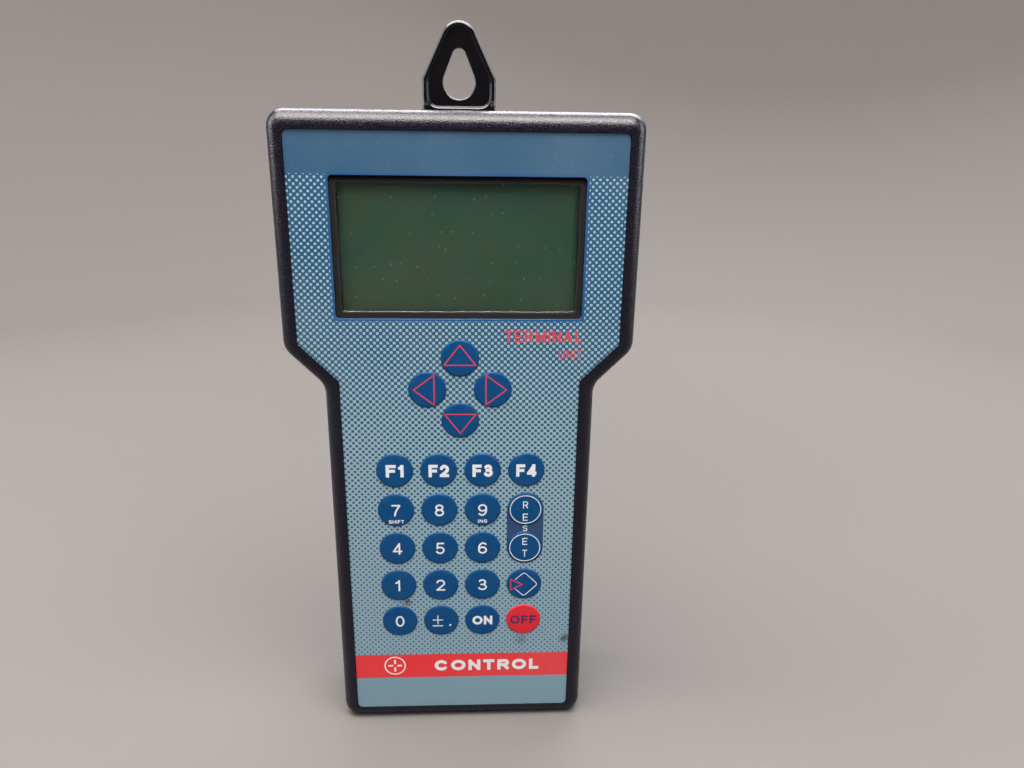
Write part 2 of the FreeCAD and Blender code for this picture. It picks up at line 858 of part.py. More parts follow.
def make_label():
    """The printed foil on the front, with the display window and the key holes cut out."""
    body = new_body("label")
    outline = sketch_at_y(body, LABEL_Y, "label_outline")
    housing_outline(outline, Size(0), LABEL_TOP, D.label_bottom)
    foil = pad(body, outline, D.label_thickness, backwards=True)
    dress(body, "Fillet", foil, front_to_back, D.label_corner)
    width = D.window_width + D.window_gap * 2
    height = D.window_height + D.window_gap * 2
    cut_window(body, LABEL_Y, D.label_thickness, width, height, D.window_corner, "label_window")
    hole = D.key_diameter + D.key_gap * 2
    drill(body, KEYS.values(), LABEL_Y, LABEL_Y + D.label_thickness, hole, "key_holes")
    return body


def make_case_seal():
    body = new_body("case_seal")
    outline = sketch_at_y(body, D.parting_y, "seal_section")
    seal_outlines(outline, D.stack_gap)
    pad(body, outline, D.seal_height, backwards=True)
    return body


def screws(label, places, seat_y, shank, head, head_height, length):
    """Screws put in from the back: the head behind its seat, the shank in front of it."""
    pieces = []
    for i, (x, z) in enumerate(places):
        name = f"{label}_{i}"
        head_rod = rod_y(name + "_head", head, x, z, seat_y, seat_y + head_height)
        shank_rod = rod_y(name + "_shank", shank, x, z, seat_y - length, seat_y)
        slot = box(
            name + "_slot", x - head, x + head, seat_y + head_height - D.slot_depth,
            seat_y + head_height + PAST, z - D.slot_width / 2, z + D.slot_width / 2,
        )
        pieces.append(cut(name, fuse(name + "_solid", [head_rod, shank_rod]), [slot]))
    return group(label, pieces)


def make_case_inserts():
    pieces = []
    for i, (x, z) in enumerate(CASE_BOSSES):
        back = D.parting_y - D.insert_sink
        front = back - D.insert_length
        thread = D.case_screw + D.insert_thread_gap
        sleeve = rod_y(f"insert_{i}_sleeve", D.insert_diameter, x, z, front, back)
        bore = rod_y(f"insert_{i}_bore", thread, x, z, front - PAST, back + PAST)
        pieces.append(cut(f"insert_{i}", sleeve, [bore]))
    return group("case_inserts", pieces)


# --- keys ---------------------------------------------------------------------------------------

def make_key(label, x, z):
    """One round key: raised cap, retaining flange and stem, turned about its own axis."""
    body = new_body(label)
    place(body, x, 0, z)
    profile = new_sketch(body, "XY_Plane", Size(0), label + "_profile")
    front = LABEL_Y - D.key_rise
    flange_front = WALL_INSIDE + D.flange_gap
    flange_back = flange_front + D.flange_thickness
    cap = D.key_diameter / 2
    flange = D.flange_diameter / 2
    stem = D.stem_diameter / 2
    polygon(profile, [
        (0, front),
        (cap - D.key_edge, front),
        (cap, front + D.key_edge),
        (cap, flange_front),
        (flange, flange_front),
        (flange, flange_back),
        (stem, flange_back),
        (stem, flange_back + D.stem_reach),
        (0, flange_back + D.stem_reach),
    ])
    turned = body.newObject("PartDesign::Revolution", "Revolution")
    turned.Profile = profile
    turned.ReferenceAxis = (profile, ["V_Axis"])
    turned.Angle = 360
    doc.recompute()
    return body


def make_snap_domes():
    """One low steel dome under each key."""
    pieces = []
    for name, (x, z) in KEYS.items():
        dome = doc.addObject("Part::Cone", name + "_dome")
        bind(dome, "Radius1", D.dome_diameter / 4)
        bind(dome, "Radius2", D.dome_diameter / 2)
        bind(dome, "Height", D.dome_rise)
        pieces.append(place(dome, x, D.key_board_y - D.dome_rise, z, ALONG_Y))
    return group("snap_domes", pieces)


def board(label, half_width, z0, z1, y, holes):
    """A circuit board with its screw holes."""
    back = y + D.board_thickness
    body = plate(label, -half_width, half_width, z0, z1, y, back, D.board_corner)
    drill(body, holes, y, back, D.small_screw + D.small_screw_gap, label + "_holes")
    return body


# --- display ------------------------------------------------------------------------------------

def display_plate(label, width, height, y0, y1, corner):
    low = D.window_centre - height / 2
    return plate(label, -width / 2, width / 2, low, D.window_centre + height / 2, y0, y1, corner)


def make_window():
    return display_plate(
        "display_window", D.window_width, D.window_height, WINDOW_Y, WINDOW_BACK, D.window_corner
    )


def make_window_seal():
    """The foam ring that holds the pane on its seat."""
    body = display_plate(
        "window_seal", D.window_width, D.window_height, WINDOW_BACK, WINDOW_SEAT_Y, D.window_corner
    )
    cut_window(
        body, WINDOW_BACK, D.seal_thickness, D.view_width, D.view_height, D.view_corner, "seal_view"
    )
    return body


def make_bezel():
    """The folded steel frame that holds the glass on its board."""
    body = display_plate(
        "lcd_bezel", D.bezel_width, D.bezel_height, D.bezel_y, D.lcd_board_y, D.bezel_corner
    )
    inside = sketch_at_y(body, D.lcd_board_y, "bezel_inside")
    sheet = D.bezel_sheet
    window_rectangle(inside, D.bezel_width - sheet * 2, D.bezel_height - sheet * 2)
    pocket(body, inside, D.lcd_board_y - D.bezel_y - sheet, backwards=True)
    shrink = D.bezel_view_inset * 2
    cut_window(
        body, D.bezel_y, sheet + PAST, D.view_width - shrink, D.view_height - shrink,
        D.bezel_view_corner, "bezel_view",
    )
    return body


def make_lcd_glass():
    width = D.bezel_width - D.glass_side_gap * 2
    height = D.bezel_height - D.glass_side_gap * 2
    return display_plate("lcd_glass", width, height, GLASS_Y, GLASS_BACK, D.glass_corner)


def make_contact_strips():
    """The two rubber strips that join the glass to its board."""
    half = D.bezel_width / 2 - D.strip_inset
    strips = []
    for name, middle in (("low", -D.strip_centre), ("high", D.strip_centre)):
        low = D.window_centre + middle - D.strip_height / 2
        strips.append(box(
            "strip_" + name, -half, half, GLASS_BACK + D.stack_gap, D.lcd_board_y - D.stack_gap,
            low, low + D.strip_height,
        ))
    return group("lcd_contact_strips", strips)


def make_backlight():
    half_width = D.backlight_width / 2
    half_height = D.backlight_height / 2
    return box(
        "lcd_backlight", -half_width, half_width, GLASS_BACK + D.stack_gap,
        D.lcd_board_y - D.stack_gap, D.window_centre - half_height, D.window_centre + half_height,
    )


def make_lcd_board():
    half_height = D.lcd_board_height / 2
    return board(
        "lcd_board", D.lcd_board_width / 2, D.window_centre - half_height,
        D.window_centre + half_height, D.lcd_board_y, LCD_POSTS,
    )


def make_ribbon(label, width, points):
    """A flat cable: a strip that runs through points of y and z, thickened towards the back."""
    body = new_body(label)
    side = new_sketch(body, "YZ_Plane", -width / 2, label + "_side")
    far_side = [(y + D.ribbon_thickness, z) for y, z in reversed(points)]
    polygon(side, points + far_side)
    pad(body, side, width)
    return body


def make_ribbons():
    """The two flat cables, from the display and from the keypad to the main board."""
    main_front = D.main_board_y - D.ribbon_thickness - D.ribbon_gap
    lcd_back = LCD_BOARD_BACK + D.ribbon_gap
    key_back = KEY_BOARD_BACK + D.ribbon_gap
    lcd_ribbon = make_ribbon("lcd_ribbon", D.lcd_ribbon_width, [
        (lcd_back, D.window_centre - D.lcd_ribbon_start),
        (lcd_back, D.window_centre - D.lcd_ribbon_bend),
        (main_front, D.main_board_top + D.ribbon_overhang),
        (main_front, D.main_board_top - D.ribbon_land),
    ])
    keypad_ribbon = make_ribbon("keypad_ribbon", D.keypad_ribbon_width, [
        (key_back, D.key_board_bottom + D.ribbon_overhang + D.ribbon_land),
        (key_back, D.key_board_bottom + D.ribbon_overhang),
        (main_front, D.main_board_bottom + D.keypad_ribbon_bend),
        (main_front, D.main_board_bottom + D.keypad_ribbon_end),
    ])
    return [lcd_ribbon, keypad_ribbon]


# --- electronics --------------------------------------------------------------------------------

def make_main_board():
    half_width = D.main_board_width / 2
    return board(
        "main_board", half_width, D.main_board_bottom, D.main_board_top, D.main_board_y, MAIN_POSTS
    )


def make_keypad_board():
    half_width = D.key_board_width / 2
    return board(
        "keypad_board", half_width, D.key_board_bottom, D.key_board_top, D.key_board_y, KEYPAD_POSTS
    )


def make_chips():
    """Flat packages on the front of the main board: middle x and z, width, height, thickness."""
    packages = (
        ("processor", 0, 78, 20, 20, 2.2),
        ("memory", -19, 54, 10, 18, 2.0),
        ("program_memory", 18, 54, 10, 18, 2.0),
        ("driver", -20, 98, 8, 14, 1.8),
        ("line_driver", 0, 38, 8, 13, 1.8),
        ("regulator", 21, 100, 7, 9, 2.4),
    )
    pieces = [
        box(
            name, sized(x) - width / 2, sized(x) + width / 2, D.main_board_y - thick,
            D.main_board_y, sized(z) - height / 2, sized(z) + height / 2,
        )
        for name, x, z, width, height, thick in packages
    ]
    return group("board_chips", pieces)


def make_capacitors():
    """Round cans on the back of the main board: middle x and z, diameter."""
    cans = ((-22, 40, 8), (22, 40, 8), (22, 66, 6.3))
    top = MAIN_BOARD_BACK + D.capacitor_height
    pieces = [
        rod_y(f"can_{i}", diameter, x, z, MAIN_BOARD_BACK, top)
        for i, (x, z, diameter) in enumerate(cans)
    ]
    return group("board_capacitors", pieces)


def make_buzzer():
    """A round can with a small sound port, as deep as it is wide, in the middle of its back."""
    back = MAIN_BOARD_BACK + D.buzzer_height
    x = D.buzzer_x
    z = D.buzzer_z
    body = rod_y("buzzer_can", D.buzzer_diameter, x, z, MAIN_BOARD_BACK, back)
    port = rod_y("buzzer_hole", D.buzzer_port, x, z, back - D.buzzer_port, back + PAST)
    return cut("buzzer", body, [port])


# --- port ---------------------------------------------------------------------------------------

def make_connector_shell():
    """Flange behind the floor and the D collar that stands in the pocket."""
    body = new_body("connector_shell")
    flange = sketch_at_z(body, PORT_SEAT, "flange")
    side = D.port_flange_width / 2
    half_depth = D.port_flange_depth / 2
    rectangle(flange, -side, side, D.port_y - half_depth, D.port_y + half_depth)
    pad(body, flange, D.port_flange_height)
    collar = sketch_at_z(body, D.port_collar_bottom, "collar")
    port_outline(collar, Size(0))
    pad(body, collar, PORT_SEAT)
    inside = sketch_at_z(body, D.port_collar_bottom, "collar_inside")
    port_outline(inside, -D.port_sheet)
    pocket(body, inside, FLANGE_TOP, backwards=True)
    holes = sketch_at_z(body, PORT_SEAT, "flange_holes")
    for x in JACKSCREWS:
        circle(holes, x, D.port_y, D.flange_hole)
    pocket(body, holes, D.port_flange_height + PAST, backwards=True)
    return body


def make_connector_insert():
    """The moulded block with nine contact holes in two rows."""
    body = new_body("connector_insert")
    bottom = D.contact_block_bottom
    outline = sketch_at_z(body, bottom, "insert_outline")
    port_outline(outline, -D.port_sheet - D.contact_block_gap)
    pad(body, outline, FLANGE_TOP + D.contact_block_overlap - bottom)
    back = sketch_at_z(body, FLANGE_TOP + D.contact_block_gap, "insert_back")
    half_width = D.contact_back_width / 2
    half_depth = D.contact_back_depth / 2
    rectangle(back, -half_width, half_width, D.port_y - half_depth, D.port_y + half_depth)
    pad(body, back, D.contact_back_height)
    holes = sketch_at_z(body, bottom, "contact_holes")
    rows = ((5, D.port_y + D.pin_row / 2), (4, D.port_y - D.pin_row / 2))
    for count, y in rows:
        for step in range(count):
            circle(holes, D.pin_pitch * (step - (count - 1) / 2), y, D.pin_bore)
    pocket(body, holes, D.pin_depth, backwards=True)
    return body


def make_jackscrews():
    """The two hexagonal posts that a plug screws into."""
    pieces = []
    for i, x in enumerate(JACKSCREWS):
        post = doc.addObject("Part::Prism", f"jack_{i}_hexagon")
        post.Polygon = 6
        bind(post, "Circumradius", D.jackscrew_hexagon / 2)
        bind(post, "Height", D.port_pocket_height - D.jackscrew_bottom)
        place(post, x, D.port_y, D.jackscrew_bottom)
        shank = rod_z(
            f"jack_{i}_shank", D.jackscrew_shank, x, D.port_y, D.port_pocket_height,
            PORT_SEAT + D.jackscrew_reach,
        )
        thread = rod_z(f"jack_{i}_bore", D.jackscrew_bore, x, D.port_y, 0, D.jackscrew_bore_top)
        pieces.append(cut(f"jack_{i}", fuse(f"jack_{i}_solid", [post, shank]), [thread]))
    return group("connector_jackscrews", pieces)


# --- hanging eye --------------------------------------------------------------------------------

def make_hanging_eye():
    body = new_body("hanging_eye")
    outline = sketch_at_y(body, D.eye_front_y, "eye_outline")
    foot = D.eye_foot_width / 2
    polygon(outline, [
        (-foot, EYE_FOOT_BOTTOM),
        (foot, EYE_FOOT_BOTTOM),
        (foot, EYE_FOOT_TOP),
        (EYE_HALF, EYE_FOOT_TOP),
        (EYE_HALF, D.eye_shoulder),
        (0, EYE_APEX),
        (-EYE_HALF, D.eye_shoulder),
        (-EYE_HALF, EYE_FOOT_TOP),
        (-foot, EYE_FOOT_TOP),
    ])
    solid = pad(body, outline, D.eye_thickness, backwards=True)
    shoulder = D.eye_shoulder.value + TOLERANCE
    solid = dress(
        body, "Fillet", solid,
        lambda edge: front_to_back(edge) and edge.CenterOfMass.z > shoulder, D.eye_tip_radius,
    )

    def outer_rim(edge):
        flat = level(edge, D.eye_front_y) or level(edge, EYE_BACK_Y)
        return flat and edge.CenterOfMass.z > D.body_height.value

    dress(body, "Fillet", solid, outer_rim, D.eye_edge)

    # recessed floor inside the rim: straight sides up to the tangent points of a round tip
    before = body.Shape.copy()
    floor = sketch_at_y(body, D.eye_front_y, "eye_floor")
    taper_sine = D.eye_taper.turned("sin")
    inner = EYE_HALF - D.eye_rim
    inner_apex = EYE_APEX - D.eye_rim / taper_sine
    inner_shoulder = inner_apex - inner / D.eye_taper.turned("tan")
    tip_radius = D.eye_tip_radius - D.eye_rim
    tip_centre = EYE_APEX - D.eye_tip_radius / taper_sine
    tip_x = tip_radius * D.eye_taper.turned("cos")
    tip_z = tip_centre + tip_radius * taper_sine
    bottom = D.body_height + D.eye_floor_start
    polygon(floor, [
        (-inner, bottom),
        (inner, bottom),
        (inner, inner_shoulder),
        (tip_x, tip_z),
        (-tip_x, tip_z),
        (-inner, inner_shoulder),
    ])
    hole = pocket(body, floor, D.eye_floor_depth)
    corners = new_corners(before, hole)
    low = bottom.value + TOLERANCE
    dress(
        body, "Fillet", hole,
        lambda edge: corners(edge) and edge.CenterOfMass.z < low, D.eye_floor_corner,
    )
    tip = sketch_at_y(body, D.eye_front_y, "eye_floor_tip")
    circle(tip, 0, tip_centre, tip_radius * 2)
    pocket(body, tip, D.eye_floor_depth)

    # drop-shaped hole: two rounds and the four-sided stretch between their tangent points
    through = D.eye_thickness + PAST * 2
    lean_sine = (D.hole_radius - D.hole_tip_radius) / (D.hole_high - D.hole_low)
    lean_cosine = Size(math.sqrt(1 - lean_sine.value ** 2), f"sqrt(1 - {lean_sine.text} ^ 2)")
    for name, z, radius in (
        ("hole_round", D.hole_low, D.hole_radius),
        ("hole_tip", D.hole_high, D.hole_tip_radius),
    ):
        sketch = sketch_at_y(body, D.eye_front_y - PAST, name)
        circle(sketch, 0, z, radius * 2)
        pocket(body, sketch, through)
    sides = sketch_at_y(body, D.eye_front_y - PAST, "hole_sides")
    low_x = D.hole_radius * lean_cosine
    low_z = D.hole_low + D.hole_radius * lean_sine
    high_x = D.hole_tip_radius * lean_cosine
    high_z = D.hole_high + D.hole_tip_radius * lean_sine
    polygon(sides, [(-low_x, low_z), (low_x, low_z), (high_x, high_z), (-high_x, high_z)])
    pocket(body, sides, through)
    return body


def make_eye_guide():
    """The open-topped channel that the eye slides down in, with two screw ears."""
    inside_back = EYE_BACK_Y + D.eye_gap
    inner = D.eye_foot_width / 2 + D.eye_gap
    outer = inner + D.guide_wall
    bottom = EYE_FOOT_BOTTOM - D.eye_travel - D.eye_gap
    top = D.body_height - D.wall
    outside = box(
        "guide_outside", -outer, outer, GUIDE_FRONT, inside_back + D.guide_sheet,
        bottom - D.guide_wall, top,
    )
    ear_half = D.guide_ear_width / 2
    ear_rise = D.guide_ear_height / 2
    ear = box(
        "guide_ears", -ear_half, ear_half, GUIDE_FRONT, GUIDE_EAR_BACK,
        D.guide_post_z - ear_rise, D.guide_post_z + ear_rise,
    )
    inside = box("guide_inside", -inner, inner, GUIDE_EAR_BACK, inside_back, bottom, top + PAST)
    hole = D.small_screw + D.small_screw_gap
    holes = [
        rod_y(f"guide_hole_{i}", hole, x, z, GUIDE_FRONT - PAST, GUIDE_EAR_BACK + PAST)
        for i, (x, z) in enumerate(GUIDE_POSTS)
    ]
    return cut("eye_guide", fuse("guide_solid", [outside, ear]), [inside] + holes)


def make_front_screws(label, places, seat_y):
    """Screws put in from the front: the head in front of its seat, the shank behind it."""
    pieces = []
    for i, (x, z) in enumerate(places):
        name = f"{label}_{i}"
        head_rod = rod_y(name + "_head", D.screw_head, x, z, seat_y - D.head_height, seat_y)
        shank_end = seat_y + D.screw_length
        shank_rod = rod_y(name + "_shank", D.small_screw, x, z, seat_y, shank_end)
        pieces.append(fuse(name, [head_rod, shank_rod]))
    return group(label, pieces)


# --- batteries ----------------------------------------------------------------------------------

def cell_columns():
    """Each cell's x, and whether its nub points up."""
    return [(D.cell_pitch * (i - 1.5), i % 2 == 0) for i in range(4)]


def make_tray():
    wall = D.tray_wall
    half = D.bay_width / 2
    outside = box("tray_outside", -half, half, D.bay_front_y, TRAY_BACK, BAY_LOW, BAY_HIGH)
    inside = box(
        "tray_inside", -half + wall, half - wall, D.bay_front_y + wall, TRAY_BACK + PAST,
        BAY_LOW + wall, BAY_HIGH - wall,
    )
    tray = cut("tray_shell", outside, [inside])
    # low walls between the cells, sunk a little into the tray's front wall
    front = D.bay_front_y + wall
    fence_half = D.fence_width / 2
    fences = [
        box(
            f"fence_{i}", D.cell_pitch * (i - 1) - fence_half, D.cell_pitch * (i - 1) + fence_half,
            front - D.stack_gap, front + D.fence_height, BAY_LOW + D.fence_end_gap,
            BAY_HIGH - D.fence_end_gap,
        )
        for i in range(3)
    ]
    return fuse("battery_tray", [tray] + fences)


def make_cells():
    cells = []
    for i, (x, nub_up) in enumerate(cell_columns()):
        low = CELL_LOW if nub_up else CELL_LOW + D.nub_length
        high = low + D.cell_length
        can = rod_z(f"cell_{i}_can", D.cell_diameter, x, CELL_Y, low, high)
        nub_low = high if nub_up else low - D.nub_length
        nub = rod_z(f"cell_{i}_nub", D.nub_diameter, x, CELL_Y, nub_low, nub_low + D.nub_length)
        cells.append(fuse(f"cell_{i}", [can, nub]))
    return group("battery_cells", cells)


def make_contacts():
    """A plate at each end of each cell, with a spring at the flat end and a stud at the nub."""
    pieces = []
    half_width = D.contact_width / 2
    half_depth = D.contact_depth / 2
    low_wall = BAY_LOW + D.tray_wall
    high_wall = BAY_HIGH - D.tray_wall
    low_face = low_wall + D.contact_thickness
    high_face = high_wall - D.contact_thickness
    wide = D.spring_wide
    narrow = D.spring_narrow
    for i, (x, nub_up) in enumerate(cell_columns()):
        ends = (
            ("low", low_wall, low_face, low_face, CELL_LOW, not nub_up, wide, narrow),
            ("high", high_face, high_wall, CELL_HIGH, high_face, nub_up, narrow, wide),
        )
        for end, plate_low, plate_high, z0, z1, has_stud, below, above in ends:
            backing = box(
                f"plate_{i}_{end}", x - half_width, x + half_width, CELL_Y - half_depth,
                CELL_Y + half_depth, plate_low, plate_high,
            )
            if has_stud:
                touch = rod_z(f"stud_{i}", D.stud_diameter, x, CELL_Y, z0, z1)
            else:
                touch = cone_z(f"spring_{i}", below, above, x, CELL_Y, z0, z1)
            pieces.append(fuse(f"contact_{i}_{end}", [backing, touch]))
    return group("battery_contacts", pieces)


def make_leads():
    """The two wires from the tray down to the main board."""
    y = MAIN_BOARD_BACK + D.lead_stand_off
    wires = [
        rod_z(f"lead_{i}", D.lead_diameter, x, y, D.main_board_top - D.lead_overlap, BAY_LOW)
        for i, x in enumerate((-D.lead_x, D.lead_x))
    ]
    return group("battery_leads", wires)


def make_door():
    """The battery door: a flat plate with five grip grooves near its upper edge."""
    body = new_body("battery_door")
    outline = sketch_at_y(body, REAR - D.door_thickness, "door_outline")
    door_rectangle(outline, Size(0))
    slab = pad(body, outline, D.door_thickness, backwards=True)
    dress(body, "Fillet", slab, front_to_back, D.door_corner)
    grooves = sketch_at_y(body, REAR, "grip_grooves")
    half_width = D.grip_width / 2
    for step in range(5):
        low = DOOR_TOP - D.grip_drop - D.grip_pitch * step
        rectangle(grooves, -half_width, half_width, low, low + D.grip_height)
    pocket(body, grooves, D.grip_depth, backwards=True)
    return body


# --- whole object -------------------------------------------------------------------------------

def build():
    parts = [make_front_shell(), make_rear_shell(), make_label(), make_case_seal()]
    parts += [make_window(), make_window_seal(), make_bezel(), make_lcd_glass()]
    parts += [make_contact_strips(), make_backlight(), make_lcd_board()]
    parts += [make_key(name, x, z) for name, (x, z) in KEYS.items()]
    parts += [make_snap_domes(), make_keypad_board()]
    small = (D.small_screw, D.screw_head, D.head_height)
    case = (D.case_screw, D.case_screw_head, D.case_head_height)
    parts += [
        screws("keypad_screws", KEYPAD_POSTS, KEY_BOARD_BACK, *small, D.keypad_screw_length),
        screws("lcd_screws", LCD_POSTS, LCD_BOARD_BACK, *small, D.screw_length),
        screws("case_screws", CASE_BOSSES, D.head_seat_y, *case, D.case_screw_length),
        make_case_inserts(),
    ]
    parts += make_ribbons()
    parts += [make_main_board(), make_chips(), make_capacitors(), make_buzzer()]
    parts.append(make_front_screws("board_screws", MAIN_POSTS, D.main_board_y))
    parts += [make_connector_shell(), make_connector_insert(), make_jackscrews()]
    parts += [make_hanging_eye(), make_eye_guide()]
    parts.append(make_front_screws("guide_screws", GUIDE_POSTS, GUIDE_FRONT))
    parts += [make_tray(), make_cells(), make_contacts(), make_leads(), make_door()]
    plate_back = REAR - D.plate_recess + D.plate_thickness
    parts.append(plate(
        "rear_label", -PLATE_HALF, PLATE_HALF, D.plate_bottom, D.plate_top,
        REAR - D.plate_recess, plate_back, D.plate_corner,
    ))
    return parts


def check(parts):
    """Stop before writing anything if an object failed or a shape is bad."""
    doc.recompute()
    for thing in doc.Objects:
        if "Invalid" in thing.State or "Error" in thing.State:
            raise RuntimeError(f"{thing.Label} failed: {thing.State}")
    for part in parts:
        if part.Shape.isNull() or not part.Shape.isValid():
            raise RuntimeError(f"{part.Label}: bad shape")


def write(parts):
    os.makedirs("parts", exist_ok=True)
    for part in parts:
        part.Shape.exportStep(os.path.join("parts", part.Label + ".step"))
        print(f"{part.Label}: {part.Shape.Volume:.1f} mm3, {len(part.Shape.Solids)} solids")


PARTS = build()
check(PARTS)
write(PARTS)
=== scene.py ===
import math

import bmesh
import bpy
import numpy as np
from mathutils import Matrix, Vector


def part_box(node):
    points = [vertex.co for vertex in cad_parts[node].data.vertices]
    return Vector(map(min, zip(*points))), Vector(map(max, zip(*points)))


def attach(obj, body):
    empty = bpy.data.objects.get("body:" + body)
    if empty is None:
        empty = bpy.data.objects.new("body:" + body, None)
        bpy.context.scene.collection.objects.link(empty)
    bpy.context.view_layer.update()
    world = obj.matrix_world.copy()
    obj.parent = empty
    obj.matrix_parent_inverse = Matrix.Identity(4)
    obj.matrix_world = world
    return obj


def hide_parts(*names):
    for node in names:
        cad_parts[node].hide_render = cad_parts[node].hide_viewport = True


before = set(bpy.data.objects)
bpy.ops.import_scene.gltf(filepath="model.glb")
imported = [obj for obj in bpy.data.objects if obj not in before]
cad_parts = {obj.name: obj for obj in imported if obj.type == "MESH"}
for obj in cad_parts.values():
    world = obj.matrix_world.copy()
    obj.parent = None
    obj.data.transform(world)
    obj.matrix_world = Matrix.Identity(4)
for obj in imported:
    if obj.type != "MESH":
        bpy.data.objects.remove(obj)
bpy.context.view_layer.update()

MM = 0.001

# Sizes and places are in millimetres, in the frame of the CAD model, unless a comment says metres.

# The printed foil and the keys.
LABEL_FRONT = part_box("label")[0].y / MM
KEY_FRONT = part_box("key_5")[0].y / MM
INK = 0.03          # how far a printed legend stands proud
ROOT = 0.02         # how deep its solid starts below the surface
KEY_RADIUS = 6.35
HALFTONE_PITCH = 2.15
HALFTONE_LOW, HALFTONE_HIGH = 25.0, 215.0
TOP_BAND, RED_BAND, LOW_BAND = 204.1, 28.65, 18.3   # foot of the top band, tops of the low ones
WINDOW_HEIGHT = 181.2                               # of the display opening's middle
WINDOW_OUTLINE = (40.85, 23.35)                     # half sizes of the blue line around it
RESET_PANEL = 6.55                                  # radius of the panel under the reset keys
DIRT = ((-20.0, 51.8), (38.6, 35.0))                # x and z of the dirt spots
FAINT_DIRT = (22.0, 34.6)

# The hanging eye: flat sides, sides that taper to a round tip, a recess and a drop-shaped hole.
EYE_LOW, EYE_HIGH = [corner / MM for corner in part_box("hanging_eye")]
EYE_TOP, EYE_FRONT, EYE_BACK = EYE_HIGH.z, EYE_LOW.y, EYE_HIGH.y
EYE_HALF = 11.8                             # half width between the flat sides
EYE_TAPER = math.radians(25.8)              # lean of the tapering sides
EYE_TIP = 5.6                               # radius of the tip
EYE_RIM = 1.8                               # width of the rim around the recess
EYE_RECESS = 1.6                            # depth of the recess
EYE_APEX = EYE_TOP - EYE_TIP + EYE_TIP / math.sin(EYE_TAPER)    # where the leaning sides meet
HOLE_ROUND, HOLE_TIP = 5.25, 2.2            # radii of the hole's two ends
HOLE_LOW, HOLE_HIGH = EYE_TOP - 18.14, EYE_TOP - 10.14
RECESS_BOTTOM, RECESS_CORNER = EYE_TOP - 25.7, 3.2
# Where the eye's painted highlights sit: pale spots painted on the rim's two lower corners, for the
# light that glints there.
PAINTED_HIGHLIGHT_X, PAINTED_HIGHLIGHT_Z = 10.9, EYE_TOP - 24.6   # the pale spots on the rim
FOOT_TOP = 220.2
FOOT_OVERLAP, FOOT_EASE, FOOT_CORNER = 0.6, 0.2, 0.6

# The dry cells and the flat cables.
CELL_RING = (164.6, 165.4)                  # the pale ring around a cell
CELL_END = 166.1                            # where the copper-coloured end begins, above the ring
CONDUCTOR_PITCH = 1.0


def centre(node):
    """Middle of a CAD node's box, in millimetres."""
    low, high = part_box(node)
    return (low + high) / 2 / MM


# ---------------------------------------------------------------- materials


